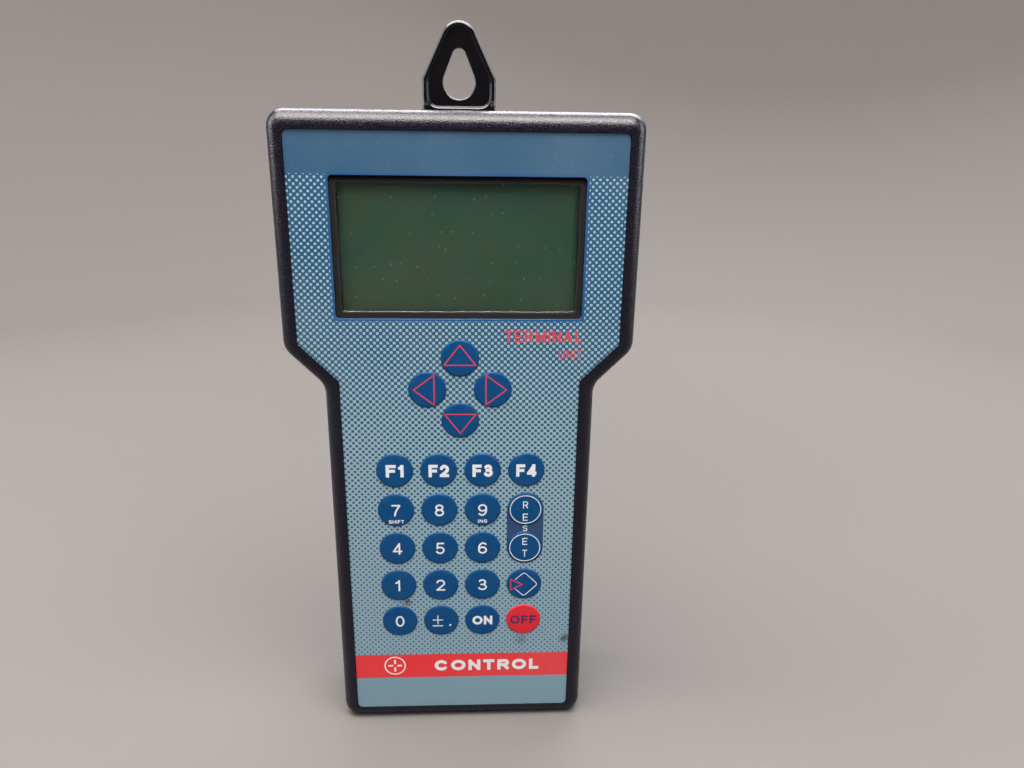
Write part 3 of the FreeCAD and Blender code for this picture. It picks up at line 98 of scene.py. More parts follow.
class Surface:
    """A node material, built up step by step around one Principled shader."""

    def __init__(self, name):
        self.material = bpy.data.materials.new(name)
        self.material.use_nodes = True
        self.tree = self.material.node_tree
        self.shader = self.tree.nodes["Principled BSDF"]
        self.output = self.tree.nodes["Material Output"]
        self.place = self.node("ShaderNodeTexCoord").outputs["Object"]
        self.split = None

    def node(self, kind, **settings):
        made = self.tree.nodes.new(kind)
        for name, value in settings.items():
            setattr(made, name, value)
        return made

    def feed(self, socket, value):
        """Links another node's output to a socket, or gives it a plain value."""
        if isinstance(value, bpy.types.NodeSocket):
            self.tree.links.new(value, socket)
        else:
            socket.default_value = value

    def set(self, **values):
        """Feeds the shader's sockets, named with underscores for spaces."""
        for name, value in values.items():
            self.feed(self.shader.inputs[name.replace("_", " ")], value)
        return self

    def axis(self, name):
        """One coordinate of the CAD frame, in millimetres."""
        if self.split is None:
            self.split = self.node("ShaderNodeSeparateXYZ")
            self.feed(self.split.inputs[0], self.place)
        return self.math("DIVIDE", self.split.outputs[name], MM)

    def math(self, operation, a, b=0.0):
        made = self.node("ShaderNodeMath", operation=operation)
        for socket, value in zip(made.inputs, (a, b)):
            self.feed(socket, value)
        return made.outputs[0]

    def ramp(self, value, low, high, start=0.0, end=1.0):
        """start below low, end above high, and a smooth step between them."""
        made = self.node("ShaderNodeMapRange", interpolation_type="SMOOTHSTEP")
        for socket, number in zip(made.inputs, (value, low, high, start, end)):
            self.feed(socket, number)
        return made.outputs[0]

    def below(self, value, limit, soft=0.05):
        """1 below the limit, 0 above it, with a soft edge."""
        return self.ramp(value, limit - soft, limit + soft, 1.0, 0.0)

    def between(self, value, low, high, soft):
        """1 between low and high, 0 outside, with soft edges."""
        rising = self.ramp(value, low - soft, low + soft)
        return self.math("MULTIPLY", rising, self.below(value, high, soft))

    def mix(self, share, a, b):
        """Colour a where share is 0, b where it is 1."""
        made = self.node("ShaderNodeMix", data_type="RGBA")
        self.feed(made.inputs["Factor"], share)
        self.feed(made.inputs["A"], a)
        self.feed(made.inputs["B"], b)
        return made.outputs["Result"]

    def flat_place(self, stretch=(1.0, 1.0)):
        """X and Z of the CAD frame as a flat vector, in millimetres."""
        made = self.node("ShaderNodeCombineXYZ")
        self.feed(made.inputs[0], self.math("MULTIPLY", self.axis("X"), stretch[0]))
        self.feed(made.inputs[1], self.math("MULTIPLY", self.axis("Z"), stretch[1]))
        return made.outputs[0]

    def noise(self, size_mm, detail, where=None, roughness=0.5):
        """Smooth noise from 0 to 1 whose patches are about size_mm wide."""
        made = self.node("ShaderNodeTexNoise")
        self.feed(made.inputs["Vector"], self.place if where is None else where)
        self.feed(made.inputs["Scale"], (1 / MM if where is None else 1.0) / size_mm)
        self.feed(made.inputs["Detail"], detail)
        self.feed(made.inputs["Roughness"], roughness)
        return made.outputs[0]

    def cells(self, size_mm, where=None, flat=False):
        """Distance to, and colour of, the nearest of some scattered points."""
        made = self.node("ShaderNodeTexVoronoi")
        if flat:
            made.voronoi_dimensions = "2D"
        self.feed(made.inputs["Vector"], self.place if where is None else where)
        self.feed(made.inputs["Scale"], (1 / MM if where is None else 1.0) / size_mm)
        return made.outputs["Distance"], made.outputs["Color"]

    def bump(self, height, depth_mm, strength):
        """A normal that follows height, whose range of 1 is depth_mm deep."""
        made = self.node("ShaderNodeBump")
        self.feed(made.inputs["Strength"], strength)
        self.feed(made.inputs["Distance"], depth_mm * MM)
        self.feed(made.inputs["Height"], height)
        return made.outputs[0]


def rgb(red, green, blue):
    """A screen colour from 0 to 255 as a linear shader colour."""
    values = []
    for channel in (red, green, blue):
        c = channel / 255
        values.append(c / 12.92 if c <= 0.04045 else ((c + 0.055) / 1.055) ** 2.4)
    return (*values, 1.0)


def length(s, one, two):
    """Length of a flat vector with these two parts."""
    squares = s.math("ADD", s.math("MULTIPLY", one, one), s.math("MULTIPLY", two, two))
    return s.math("SQRT", squares)


def spot(s, x, z, radius, soft):
    """1 inside a round spot of the front, fading out over soft."""
    dx = s.math("SUBTRACT", s.axis("X"), x)
    dz = s.math("SUBTRACT", s.axis("Z"), z)
    return s.below(length(s, dx, dz), radius, soft)


def label_surface():
    """Printed foil: a halftone that runs from blue to pale, bands and a window frame."""
    s = Surface("label_print")
    x, z = s.axis("X"), s.axis("Z")
    turn = 2 * math.pi / HALFTONE_PITCH
    one = s.math("COSINE", s.math("MULTIPLY", s.math("ADD", x, z), turn))
    two = s.math("COSINE", s.math("MULTIPLY", s.math("SUBTRACT", x, z), turn))
    wave = s.math("MULTIPLY", s.math("ADD", one, two), 0.5)
    level = s.ramp(z, HALFTONE_LOW, HALFTONE_HIGH, -0.58, 0.42)
    dots = s.ramp(s.math("SUBTRACT", wave, level), -0.16, 0.16)

    blue = s.mix(s.ramp(z, 60.0, 200.0), rgb(34, 66, 92), rgb(24, 78, 116))
    pale = s.mix(s.ramp(z, 30.0, 200.0), rgb(134, 166, 182), rgb(152, 194, 208))
    ink = s.mix(dots, blue, pale)
    ink = s.mix(s.ramp(z, TOP_BAND - 0.1, TOP_BAND + 0.1), ink, rgb(39, 87, 121))

    rise = s.math("ABSOLUTE", s.math("SUBTRACT", z, WINDOW_HEIGHT))
    beside = s.math("SUBTRACT", s.math("ABSOLUTE", x), WINDOW_OUTLINE[0])
    above = s.math("SUBTRACT", rise, WINDOW_OUTLINE[1])
    ink = s.mix(s.below(s.math("MAXIMUM", beside, above), 0.0), ink, rgb(4, 80, 138))

    # The panel under the two reset keys: everything near the line from one to the other.
    low, high = centre("key_reset_lower"), centre("key_reset_upper")
    dx = s.math("SUBTRACT", x, low.x)
    past_upper = s.math("MAXIMUM", s.math("SUBTRACT", z, high.z), 0.0)
    past_lower = s.math("MINIMUM", s.math("SUBTRACT", z, low.z), 0.0)
    dz = s.math("ADD", past_upper, past_lower)
    ink = s.mix(s.below(length(s, dx, dz), RESET_PANEL), ink, rgb(0, 55, 106))

    ink = s.mix(s.below(z, RED_BAND), ink, rgb(232, 48, 54))
    ink = s.mix(s.below(z, LOW_BAND), ink, rgb(120, 155, 171))

    haze = s.ramp(s.noise(38.0, 3.0), 0.3, 0.75, 0.0, 0.10)
    ink = s.mix(haze, ink, rgb(150, 160, 165))
    grain = s.ramp(s.noise(0.5, 2.0), 0.35, 0.7, 0.0, 0.06)
    ink = s.mix(grain, ink, rgb(30, 45, 60))
    smears = s.noise(2.2, 4.0, roughness=0.7)
    dirt = s.math("MAXIMUM", spot(s, *DIRT[0], 1.6, 1.4), spot(s, *DIRT[1], 1.6, 1.4))
    faint = s.math("MULTIPLY", spot(s, *FAINT_DIRT, 1.8, 1.8), 0.5)
    dirt = s.math("MULTIPLY", s.math("MAXIMUM", dirt, faint), s.ramp(smears, 0.36, 0.54, 0.0, 0.95))
    ink = s.mix(dirt, ink, rgb(54, 50, 46))
    specks, tint = s.cells(3.4, s.flat_place(), flat=True)
    lint = s.math("MULTIPLY", s.ramp(specks, 0.02, 0.05, 1.0, 0.0), s.ramp(tint, 0.72, 0.74))
    ink = s.mix(s.math("MULTIPLY", lint, 0.4), ink, rgb(205, 215, 218))

    gloss = s.ramp(s.noise(14.0, 4.0), 0.3, 0.7, 0.36, 0.5)
    fine = s.noise(0.22, 2.0)
    s.set(Base_Color=ink, Roughness=gloss, Normal=s.bump(fine, 0.006, 0.6))
    s.set(Specular_IOR_Level=0.35)
    return s.material


def moulded(name, colour, roughness, grain_mm, depth_mm, dust=0.0):
    """Moulded plastic with an eroded texture, slightly uneven in colour and gloss."""
    s = Surface(name)
    patches = s.noise(22.0, 3.0)
    tint = s.mix(s.ramp(patches, 0.3, 0.7, 0.0, 0.15), colour, rgb(26, 22, 34))
    if dust:
        settled = s.ramp(s.noise(0.9, 5.0, roughness=0.75), 0.56, 0.74, 0.0, dust)
        tint = s.mix(settled, tint, rgb(150, 145, 138))
    pits, grains = s.cells(grain_mm)
    fine = s.noise(grain_mm * 0.8, 2.0)
    height = s.math("ADD", pits, s.math("MULTIPLY", fine, 0.4))
    gloss = s.ramp(grains, 0.15, 0.85, roughness - 0.07, roughness + 0.12)
    s.set(Base_Color=tint, Roughness=gloss, Normal=s.bump(height, depth_mm, 0.9))
    s.set(Specular_IOR_Level=0.26)
    return s.material


def painted(name, colour, roughness, wear, grain_mm=0.25, depth_mm=0.006, specular=0.5):
    """Smooth plastic or ink with faint scuffs."""
    s = Surface(name)
    scuffs = s.ramp(s.noise(3.0, 5.0, roughness=0.7), 0.45, 0.75, 0.0, wear)
    tint = s.mix(scuffs, colour, rgb(150, 160, 168))
    gloss = s.ramp(s.noise(6.0, 4.0), 0.3, 0.7, roughness - 0.05, roughness + 0.09)
    fine = s.noise(grain_mm, 2.0)
    s.set(Base_Color=tint, Roughness=gloss, Normal=s.bump(fine, depth_mm, 0.6))
    s.set(Specular_IOR_Level=specular)
    return s.material


def eye_surface():
    """Glossy black moulding, with painted highlights: pale warm spots on the front of its rim's two
    lower corners.
    """
    s = Surface("gloss_black_eye")
    # Painted highlight: a warm pale colour mixed in at the rim's two lower corners, on the front face
    # only.
    left, right = [spot(s, side * PAINTED_HIGHLIGHT_X, PAINTED_HIGHLIGHT_Z, 0.6, 0.7) for side in (-1, 1)]
    corners = s.math("MAXIMUM", left, right)
    corners = s.math("MULTIPLY", corners, s.ramp(s.noise(0.9, 3.0), 0.4, 0.6))
    front = s.ramp(s.axis("Y"), EYE_FRONT + 0.3, EYE_FRONT + 0.6, 1.0, 0.0)
    painted_highlight = s.math("MULTIPLY", corners, s.math("MULTIPLY", front, 0.5))
    tint = s.mix(painted_highlight, rgb(7, 5, 12), rgb(150, 132, 132))
    gloss = s.ramp(s.noise(6.0, 4.0), 0.3, 0.7, 0.12, 0.22)
    s.set(Base_Color=tint, Roughness=gloss, Normal=s.bump(s.noise(2.4, 2.0), 0.01, 0.6))
    s.set(Specular_IOR_Level=0.38)
    return s.material


def metal(name, colour, roughness, brushed="X"):
    """Bare metal with fine brushing across one axis and darker stains."""
    s = Surface(name)
    stretch = (0.04, 1.0) if brushed == "X" else (1.0, 0.04)
    lines = s.noise(0.12, 3.0, s.flat_place(stretch=stretch))
    stains = s.ramp(s.noise(4.0, 4.0), 0.5, 0.8, 0.0, 0.25)
    tint = s.mix(stains, colour, rgb(95, 88, 80))
    gloss = s.ramp(lines, 0.3, 0.7, roughness - 0.08, roughness + 0.1)
    s.set(Base_Color=tint, Roughness=gloss, Metallic=1.0, Normal=s.bump(lines, 0.004, 0.5))
    return s.material


def pane_surface():
    """Clear acrylic that lets lamps reach the display behind it."""
    s = Surface("clear_pane")
    s.set(Base_Color=rgb(236, 242, 240), Roughness=0.03)
    s.set(Transmission_Weight=1.0, IOR=1.22)
    path = s.node("ShaderNodeLightPath")
    clear = s.node("ShaderNodeBsdfTransparent")
    both = s.node("ShaderNodeMixShader")
    s.feed(both.inputs[0], path.outputs["Is Shadow Ray"])
    s.feed(both.inputs[1], s.shader.outputs[0])
    s.feed(both.inputs[2], clear.outputs[0])
    s.feed(s.output.inputs["Surface"], both.outputs[0])
    return s.material


def display_surface():
    """Unlit green liquid crystal: soft olive and sea-green clouds, with lint on it."""
    s = Surface("lcd_green")
    clouds = s.noise(26.0, 3.0)
    low = s.noise(9.0, 4.0)
    green = s.mix(s.ramp(clouds, 0.36, 0.62), rgb(15, 40, 27), rgb(30, 42, 27))
    green = s.mix(s.ramp(low, 0.35, 0.75, 0.0, 0.5), green, rgb(24, 45, 41))
    fine = s.noise(0.8, 3.0)
    green = s.mix(s.ramp(fine, 0.4, 0.7, 0.0, 0.12), green, rgb(16, 30, 22))
    for size, share, bright in ((5.2, 0.6, 0.24), (2.6, 0.7, 0.15)):
        near, tint = s.cells(size, s.flat_place(), flat=True)
        chosen = s.ramp(tint, share, share + 0.02)
        lint = s.math("MULTIPLY", s.ramp(near, 0.02, 0.06, 1.0, 0.0), chosen)
        green = s.mix(s.math("MULTIPLY", lint, bright), green, rgb(188, 192, 150))
    s.set(Base_Color=green, Roughness=0.45, Normal=s.bump(fine, 0.002, 0.3))
    s.set(Specular_IOR_Level=0.16)
    return s.material


def board_surface():
    """Solder mask with faint copper runs under it."""
    s = Surface("board_green")
    along = s.noise(1.6, 1.0, s.flat_place(stretch=(1.0, 0.12)))
    runs = s.between(along, 0.47, 0.53, 0.01)
    green = s.mix(s.math("MULTIPLY", runs, 0.6), rgb(18, 82, 46), rgb(46, 118, 66))
    s.set(Base_Color=green, Roughness=0.3, Normal=s.bump(runs, 0.03, 0.5))
    return s.material


def ribbon_surface():
    """Amber film with copper conductors showing through."""
    s = Surface("ribbon_amber")
    turn = 2 * math.pi / CONDUCTOR_PITCH
    stripes = s.math("SINE", s.math("MULTIPLY", s.axis("X"), turn))
    amber = s.mix(s.ramp(stripes, -0.2, 0.2), rgb(186, 98, 24), rgb(214, 142, 62))
    s.set(Base_Color=amber, Roughness=0.28, Normal=s.bump(stripes, 0.02, 0.5))
    return s.material


def cell_surface():
    """Printed sleeve of a dry cell, dark with a copper-coloured end."""
    s = Surface("cell_can")
    z = s.axis("Z")
    end = s.ramp(z, CELL_END - 0.1, CELL_END + 0.1)
    sleeve = s.mix(end, rgb(28, 30, 34), rgb(176, 110, 52))
    ring = s.between(z, *CELL_RING, 0.05)
    sleeve = s.mix(ring, sleeve, rgb(200, 200, 196))
    scuffs = s.ramp(s.noise(2.4, 4.0), 0.5, 0.8, 0.0, 0.18)
    sleeve = s.mix(scuffs, sleeve, rgb(140, 138, 132))
    s.set(Base_Color=sleeve, Roughness=0.32, Normal=s.bump(s.noise(1.2, 2.0), 0.01, 0.5))
    return s.material


BODY_BLACK = rgb(13, 9, 28)
LEGEND_WHITE = painted("legend_white", rgb(226, 232, 236), 0.42, 0.08)
LEGEND_RED = painted("legend_red", rgb(214, 44, 70), 0.42, 0.06)
LEGEND_NAVY = painted("legend_navy", rgb(34, 20, 84), 0.42, 0.05)
PRINT_RED = painted("print_red", rgb(206, 62, 78), 0.42, 0.10)
PRINT_GREY = painted("print_grey", rgb(58, 60, 66), 0.5, 0.05)

SURFACES = {
    "housing": moulded("housing", BODY_BLACK, 0.28, grain_mm=0.36, depth_mm=0.05, dust=0.012),
    "label_print": label_surface(),
    "seal_rubber": moulded("seal_rubber", rgb(16, 16, 18), 0.7, grain_mm=0.5, depth_mm=0.02),
    "clear_pane": pane_surface(),
    "black_sheet": painted("black_sheet", rgb(6, 5, 8), 0.30, 0.02, specular=0.15),
    "lcd_green": display_surface(),
    "white_plastic": painted("white_plastic", rgb(222, 222, 214), 0.5, 0.05),
    "board_green": board_surface(),
    "steel": metal("steel", rgb(176, 178, 180), 0.3),
    "brass": metal("brass", rgb(196, 158, 84), 0.28),
    "ribbon_amber": ribbon_surface(),
    "black_plastic": moulded("black_plastic", rgb(24, 24, 27), 0.5, grain_mm=0.45, depth_mm=0.02),
    "can_aluminium": metal("can_aluminium", rgb(190, 192, 194), 0.34, "Z"),
    "gloss_black": painted("gloss_black", rgb(10, 9, 13), 0.17, 0.02, 2.4, 0.01, specular=0.7),
    "cell_can": cell_surface(),
    "lead_red": painted("lead_red", rgb(178, 26, 28), 0.4, 0.05),
    "plate_aluminium": metal("plate_aluminium", rgb(188, 190, 192), 0.36),
    "key_blue": painted("key_blue", rgb(0, 70, 122), 0.34, 0.03, 0.5, 0.01, specular=0.16),
    "key_red": painted("key_red", rgb(214, 36, 52), 0.34, 0.03, 0.5, 0.01, specular=0.25),
}

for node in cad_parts.values():
    slots = node.data.materials
    for index, old in enumerate(slots):
        slots[index] = SURFACES[old.name.split(".")[0]]


# ---------------------------------------------------------------- meshes


def new_piece(name, mesh_data, body, material):
    """Puts a finished bmesh into the scene, riding on a CAD body."""
    mesh = bpy.data.meshes.new(name)
    bmesh.ops.recalc_face_normals(mesh_data, faces=mesh_data.faces)
    mesh_data.to_mesh(mesh)
    mesh_data.free()
    mesh.materials.append(material)
    piece = bpy.data.objects.new(name, mesh)
    bpy.context.scene.collection.objects.link(piece)
    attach(piece, body)
    return piece


def smooth(piece, degrees=32.0):
    """Smooth shading, except over edges sharper than this."""
    for face in piece.data.polygons:
        face.use_smooth = True
    piece.data.set_sharp_from_angle(angle=math.radians(degrees))


def prism(target, outer, inner, front, back):
    """Adds a closed flat solid to a bmesh. outer and inner are rings of (x, z) points.

    With an inner ring of as many points, the solid is the band between the two rings."""
    rings = []
    for y in (front, back):
        for points in (outer, inner):
            if points is not None:
                corners = [target.verts.new((x * MM, y * MM, z * MM)) for x, z in points]
                rings.append(corners)
    count = len(outer)
    if inner is None:
        near, far = rings
        target.faces.new(near)
        target.faces.new(list(reversed(far)))
        loops = [(near, far)]
    else:
        near, near_in, far, far_in = rings
        loops = [(near, far), (near_in, far_in), (near, near_in), (far, far_in)]
    for one, two in loops:
        for i in range(count):
            j = (i + 1) % count
            target.faces.new((one[i], one[j], two[j], two[i]))


def offsets(points, width, closed):
    """The two sides of a line of this width, with mitred corners."""
    left, right = [], []
    count = len(points)
    for i, point in enumerate(points):
        here = Vector(point)
        before = Vector(points[i - 1]) if closed or i else None
        after = Vector(points[(i + 1) % count]) if closed or i < count - 1 else None
        directions = []
        if before is not None:
            directions.append((here - before).normalized())
        if after is not None:
            directions.append((after - here).normalized())
        normals = [Vector((-d.y, d.x)) for d in directions]
        mitre = sum(normals, Vector((0, 0))).normalized()
        reach = width / 2 / max(mitre.dot(normals[0]), 0.3)
        left.append(tuple(here + mitre * reach))
        right.append(tuple(here - mitre * reach))
    return left, right


def line(target, points, width, front, closed=True):
    """Adds a printed line to a bmesh, as a closed solid along these (x, z) points."""
    left, right = offsets(points, width, closed)
    if closed:
        prism(target, left, right, front - INK, front + ROOT)
    else:
        prism(target, left + list(reversed(right)), None, front - INK, front + ROOT)


def circle_points(x, z, radius, count=72):
    turn = 2 * math.pi / count
    return [(x + radius * math.cos(i * turn), z + radius * math.sin(i * turn)) for i in range(count)]


def arc(x, z, across, up, start, end, count=20):
    """Points along an upright ellipse, from one angle to another in degrees."""
    angles = [math.radians(start + (end - start) * i / count) for i in range(count + 1)]
    return [(x + across * math.cos(a), z + up * math.sin(a)) for a in angles]


# Width over height of each capital and figure. An I is only as wide as its stroke.
GLYPH_WIDTHS = {
    "0": 0.70, "1": 0.38, "2": 0.70, "3": 0.70, "4": 0.74, "5": 0.70, "6": 0.70, "7": 0.68,
    "8": 0.70, "9": 0.70, "A": 0.90, "C": 0.94, "E": 0.74, "F": 0.70, "H": 0.84, "I": 0.0,
    "L": 0.66, "M": 1.00, "N": 0.84, "O": 1.00, "R": 0.82, "S": 0.80, "T": 0.78, "U": 0.82,
}


def glyph(letter, w, s):
    """Bars and pen paths of one capital or figure of height 1, width w and stroke s.

    A bar is its lowest x and z and highest x and z. A path is a list of points."""
    h = s / 2
    left, right, low, high = h, w - h, h, 1 - h
    wide, quarter = w / 2 - h, (1 - s) / 4
    stem, far_stem = (0, 0, s, 1), (w - s, 0, w, 1)
    top, foot = (0, 1 - s, w, 1), (0, 0, w, s)
    bars, paths = [], []
    if letter in "EF":
        bars = [stem, top, (0, 0.5 - h, 0.92 * w, 0.5 + h)]
        bars += [foot] if letter == "E" else []
    elif letter == "T":
        bars = [top, (w / 2 - h, 0, w / 2 + h, 1)]
    elif letter == "H":
        bars = [stem, far_stem, (0, 0.5 - h, w, 0.5 + h)]
    elif letter == "I":
        bars = [stem]
    elif letter == "L":
        bars = [stem, foot]
    elif letter == "N":
        bars = [stem, far_stem]
        paths = [[(left, high), (right, low)]]
    elif letter == "M":
        bars = [stem, far_stem]
        paths = [[(left, high), (w / 2, low), (right, high)]]
    elif letter == "A":
        paths = [[(left, low), (w / 2, high), (right, low)], [(0.22 * w, 0.31), (0.78 * w, 0.31)]]
    elif letter == "U":
        bars = [(0, 0.38, s, 1), (w - s, 0.38, w, 1)]
        paths = [arc(w / 2, 0.38, wide, 0.38 - h, 180, 360)]
    elif letter in "O0":
        paths = [arc(w / 2, 0.5, wide, 0.5 - h, 0, 360, 40)]
    elif letter == "C":
        paths = [arc(w / 2, 0.5, wide, 0.5 - h, 42, 318, 30)]
    elif letter == "R":
        bowl = (high - 0.47) / 2
        curve = arc(right - bowl, high - bowl, bowl, bowl, 90, -90)
        bars = [stem]
        paths = [[(left, high)] + curve + [(left, 0.47)], [(0.55 * w, 0.47), (right, low)]]
    elif letter == "S":
        upper = arc(w / 2, high - quarter, wide, quarter, 25, 270)
        paths = [upper + arc(w / 2, low + quarter, wide, quarter, 90, -155)]
    elif letter == "1":
        bars = [far_stem]
        paths = [[(left, 0.74), (0.55 * w, 0.79), (right, high)]]
    elif letter == "2":
        curve = arc(w / 2, high - 0.25, wide, 0.25, 165, -35)
        bars = [foot]
        paths = [curve + [(left, low)]]
    elif letter == "3":
        rise = 0.235 * (1 - s)
        join = high - 2 * rise
        upper = arc(0.48 * w, high - rise, 0.44 * w - h, rise, 155, -90)
        lower = arc(w / 2, (join + low) / 2, wide, (join - low) / 2, 90, -158)
        paths = [upper + [(0.36 * w, join)], lower]
    elif letter == "4":
        bars = [(0.70 * w - h, 0, 0.70 * w + h, 1), (0, 0.27 - h, w, 0.27 + h)]
        paths = [[(0.70 * w, high), (left, 0.27)]]
    elif letter == "5":
        curve = arc(w / 2, 0.33, wide, 0.33 - h, 138, -155)
        bars = [(0.14 * w, 1 - s, 0.94 * w, 1)]
        paths = [[(0.14 * w + h, high), (0.10 * w + h, 0.50)], curve]
    elif letter in "69":
        loop = arc(w / 2, 0.32, wide, 0.32 - h, 0, 360, 32)
        back = arc(0.56 * w, 0.5, 0.56 * w - h, 0.5 - h, 48, 190)
        paths = [loop, back + [(left, 0.32)]]
        if letter == "9":
            paths = [[(w - x, 1 - z) for x, z in path] for path in paths]
    elif letter == "7":
        bars = [top]
        paths = [[(right, high), (0.56 * w, 0.55), (0.40 * w, 0.28), (0.34 * w, low)]]
    elif letter == "8":
        rise = 0.235 * (1 - s)
        drop = 0.5 - h - rise
        paths = [arc(w / 2, high - rise, 0.45 * w - h, rise, 0, 360, 32)]
        paths.append(arc(w / 2, low + drop, wide, drop, 0, 360, 32))
    return bars, paths


def glyph_field(bars, paths, half, across, up):
    """Signed distance of points to a glyph's ink: below zero inside."""
    field = np.full(across.shape, 9.0)
    for x0, z0, x1, z1 in bars:
        beside = np.maximum(x0 - across, across - x1)
        field = np.minimum(field, np.maximum(beside, np.maximum(z0 - up, up - z1)))
    for path in paths:
        for (ax, az), (bx, bz) in zip(path, path[1:]):
            dx, dz = bx - ax, bz - az
            along = ((across - ax) * dx + (up - az) * dz) / (dx * dx + dz * dz)
            along = np.clip(along, 0, 1)
            away = np.hypot(across - ax - along * dx, up - az - along * dz)
            field = np.minimum(field, away - half)
    return field


# The grid that letters are cut on, for a height of 1, and its shift off their straight edges.
GRID_STEP = 1 / 56
GRID_SHIFT = (0.0013, 0.0017)


def add_glyph(target, letter, x, z, width, height, stroke, front):
    """Adds one printed letter as a closed solid, cut along the zero line of its field."""
    w, s = width / height, stroke / height
    bars, paths = glyph(letter, w, s)
    columns, rows = int(w / GRID_STEP) + 5, int(1 / GRID_STEP) + 5
    xs = (np.arange(columns) - 2) * GRID_STEP + GRID_SHIFT[0]
    zs = (np.arange(rows) - 2) * GRID_STEP + GRID_SHIFT[1]
    across, up = np.meshgrid(xs, zs, indexing="ij")
    field = glyph_field(bars, paths, s / 2, across, up)
    near, far = {}, {}

    def corner(i, j, k, m):
        """The vertex pair at a grid point, or where the outline crosses a grid edge."""
        key = (i, j, k, m) if (i, j) <= (k, m) else (k, m, i, j)
        if key not in near:
            i, j, k, m = key
            share = 0.0
            if (i, j) != (k, m):
                share = field[i, j] / (field[i, j] - field[k, m])
            px = x + (xs[i] + (xs[k] - xs[i]) * share) * height
            pz = z + (zs[j] + (zs[m] - zs[j]) * share) * height
            near[key] = target.verts.new((px * MM, (front - INK) * MM, pz * MM))
            far[key] = target.verts.new((px * MM, (front + ROOT) * MM, pz * MM))
        return key

    faces = []
    for i in range(columns - 1):
        for j in range(rows - 1):
            square = [(i, j), (i + 1, j), (i + 1, j + 1), (i, j + 1)]
            ring = []
            for (a, b), (c, d) in zip(square, square[1:] + square[:1]):
                inside = field[a, b] < 0
                if inside:
                    ring.append(corner(a, b, a, b))
                if inside != (field[c, d] < 0):
                    ring.append(corner(a, b, c, d))
            if len(ring) > 2:
                faces.append(ring)
    # An edge that only one face uses is part of the outline and gets a wall.
    seen = {}
    for ring in faces:
        target.faces.new([near[key] for key in ring])
        target.faces.new([far[key] for key in reversed(ring)])
        for a, b in zip(ring, ring[1:] + ring[:1]):
            if (b, a) in seen:
                del seen[(b, a)]
            else:
                seen[(a, b)] = True
    for a, b in seen:
        target.faces.new((near[b], near[a], far[a], far[b]))


def add_words(target, words, x, z, height, front, stroke, width=None, gap=0.2):
    """Adds printed words, centred on (x, z), in capitals of this height in millimetres."""
    widths = [max(GLYPH_WIDTHS[c] * height, stroke) for c in words]
    space = gap * height
    total = sum(widths) + space * (len(words) - 1)
    stretch = 1.0 if width is None else width / total
    at = x - total * stretch / 2
    for letter, wide in zip(words, widths):
        part = bmesh.new()
        across = wide if letter == "I" else wide * stretch
        add_glyph(part, letter, at, z - height / 2, across, height, stroke, front)
        edges = list(part.edges)
        bmesh.ops.dissolve_limit(part, angle_limit=math.radians(1), verts=part.verts, edges=edges)
        mesh = bpy.data.meshes.new("letter")
        part.to_mesh(mesh)
        part.free()
        target.from_mesh(mesh)
        bpy.data.meshes.remove(mesh)
        at += wide * stretch + space * stretch


def lathe(target, x, z, profile, count=96):
    """Adds a closed solid turned about the Y axis at (x, z). profile is (radius, y) points."""
    rings = []
    for radius, y in profile:
        if radius == 0:
            rings.append([target.verts.new((x * MM, y * MM, z * MM))])
        else:
            ring = circle_points(x, z, radius, count)
            rings.append([target.verts.new((a * MM, y * MM, b * MM)) for a, b in ring])
    for one, two in zip(rings, rings[1:]):
        for i in range(count):
            j = (i + 1) % count
            corners = [one[i % len(one)], one[j % len(one)], two[j % len(two)], two[i % len(two)]]
            unique = list(dict.fromkeys(corners))
            target.faces.new(unique)


# ---------------------------------------------------------------- keys

# Radius and depth behind the front of a key: flat top, soft pressed edge, flange and stem.
KEY_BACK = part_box("key_5")[1].y / MM - KEY_FRONT
FLANGE_RADIUS, STEM_RADIUS = 7.1, 2.0
KEY_PROFILE = [
    (0, 0), (2.6, 0.0), (5.3, 0.0), (5.62, 0.012), (5.88, 0.05), (6.08, 0.11), (6.22, 0.19),
    (6.31, 0.30), (KEY_RADIUS, 0.45), (KEY_RADIUS, 2.45), (FLANGE_RADIUS - 0.05, 2.5),
    (FLANGE_RADIUS, 2.55), (FLANGE_RADIUS, 3.25), (FLANGE_RADIUS - 0.05, 3.3),
    (STEM_RADIUS + 0.05, 3.3), (STEM_RADIUS, 3.35), (STEM_RADIUS, KEY_BACK - 0.1),
    (STEM_RADIUS - 0.1, KEY_BACK), (0, KEY_BACK),
]
KEYS = sorted(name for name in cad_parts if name.startswith("key_"))

for name in KEYS:
    middle = centre(name)
    form = bmesh.new()
    lathe(form, middle.x, middle.z, [(r, KEY_FRONT + y) for r, y in KEY_PROFILE])
    slot_name = "key_red" if name == "key_off" else "key_blue"
    cap = new_piece(name + "_cap", form, name, SURFACES[slot_name])
    smooth(cap)
    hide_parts(name)


DIGIT_HEIGHT, DIGIT_STROKE = 4.6, 0.62
WORD_HEIGHT, WORD_STROKE, WORD_DROP = 1.35, 0.26, 4.4
DIGIT_WORDS = {7: ("SHIFT", 5.4), 9: ("INS", 3.3)}      # small words and their widths
FUNCTION_HEIGHT, FUNCTION_STROKE, FUNCTION_GAP = 4.7, 1.15, 0.15


def key_legend(name, ending, material, draw):
    """One printed legend on a key. draw gets the bmesh and the key's middle."""
    form = bmesh.new()
    middle = centre(name)
    draw(form, middle.x, middle.z)
    new_piece(name + "_" + ending, form, name, material)


for digit in range(10):
    def draw_digit(form, x, z, digit=digit):
        shift = 0.4 if digit == 1 else 0
        add_words(form, str(digit), x - shift, z, DIGIT_HEIGHT, KEY_FRONT, DIGIT_STROKE)
        if digit in DIGIT_WORDS:
            word, wide = DIGIT_WORDS[digit]
            add_words(form, word, x, z - WORD_DROP, WORD_HEIGHT, KEY_FRONT, WORD_STROKE, wide)

    key_legend(f"key_{digit}", "legend", LEGEND_WHITE, draw_digit)

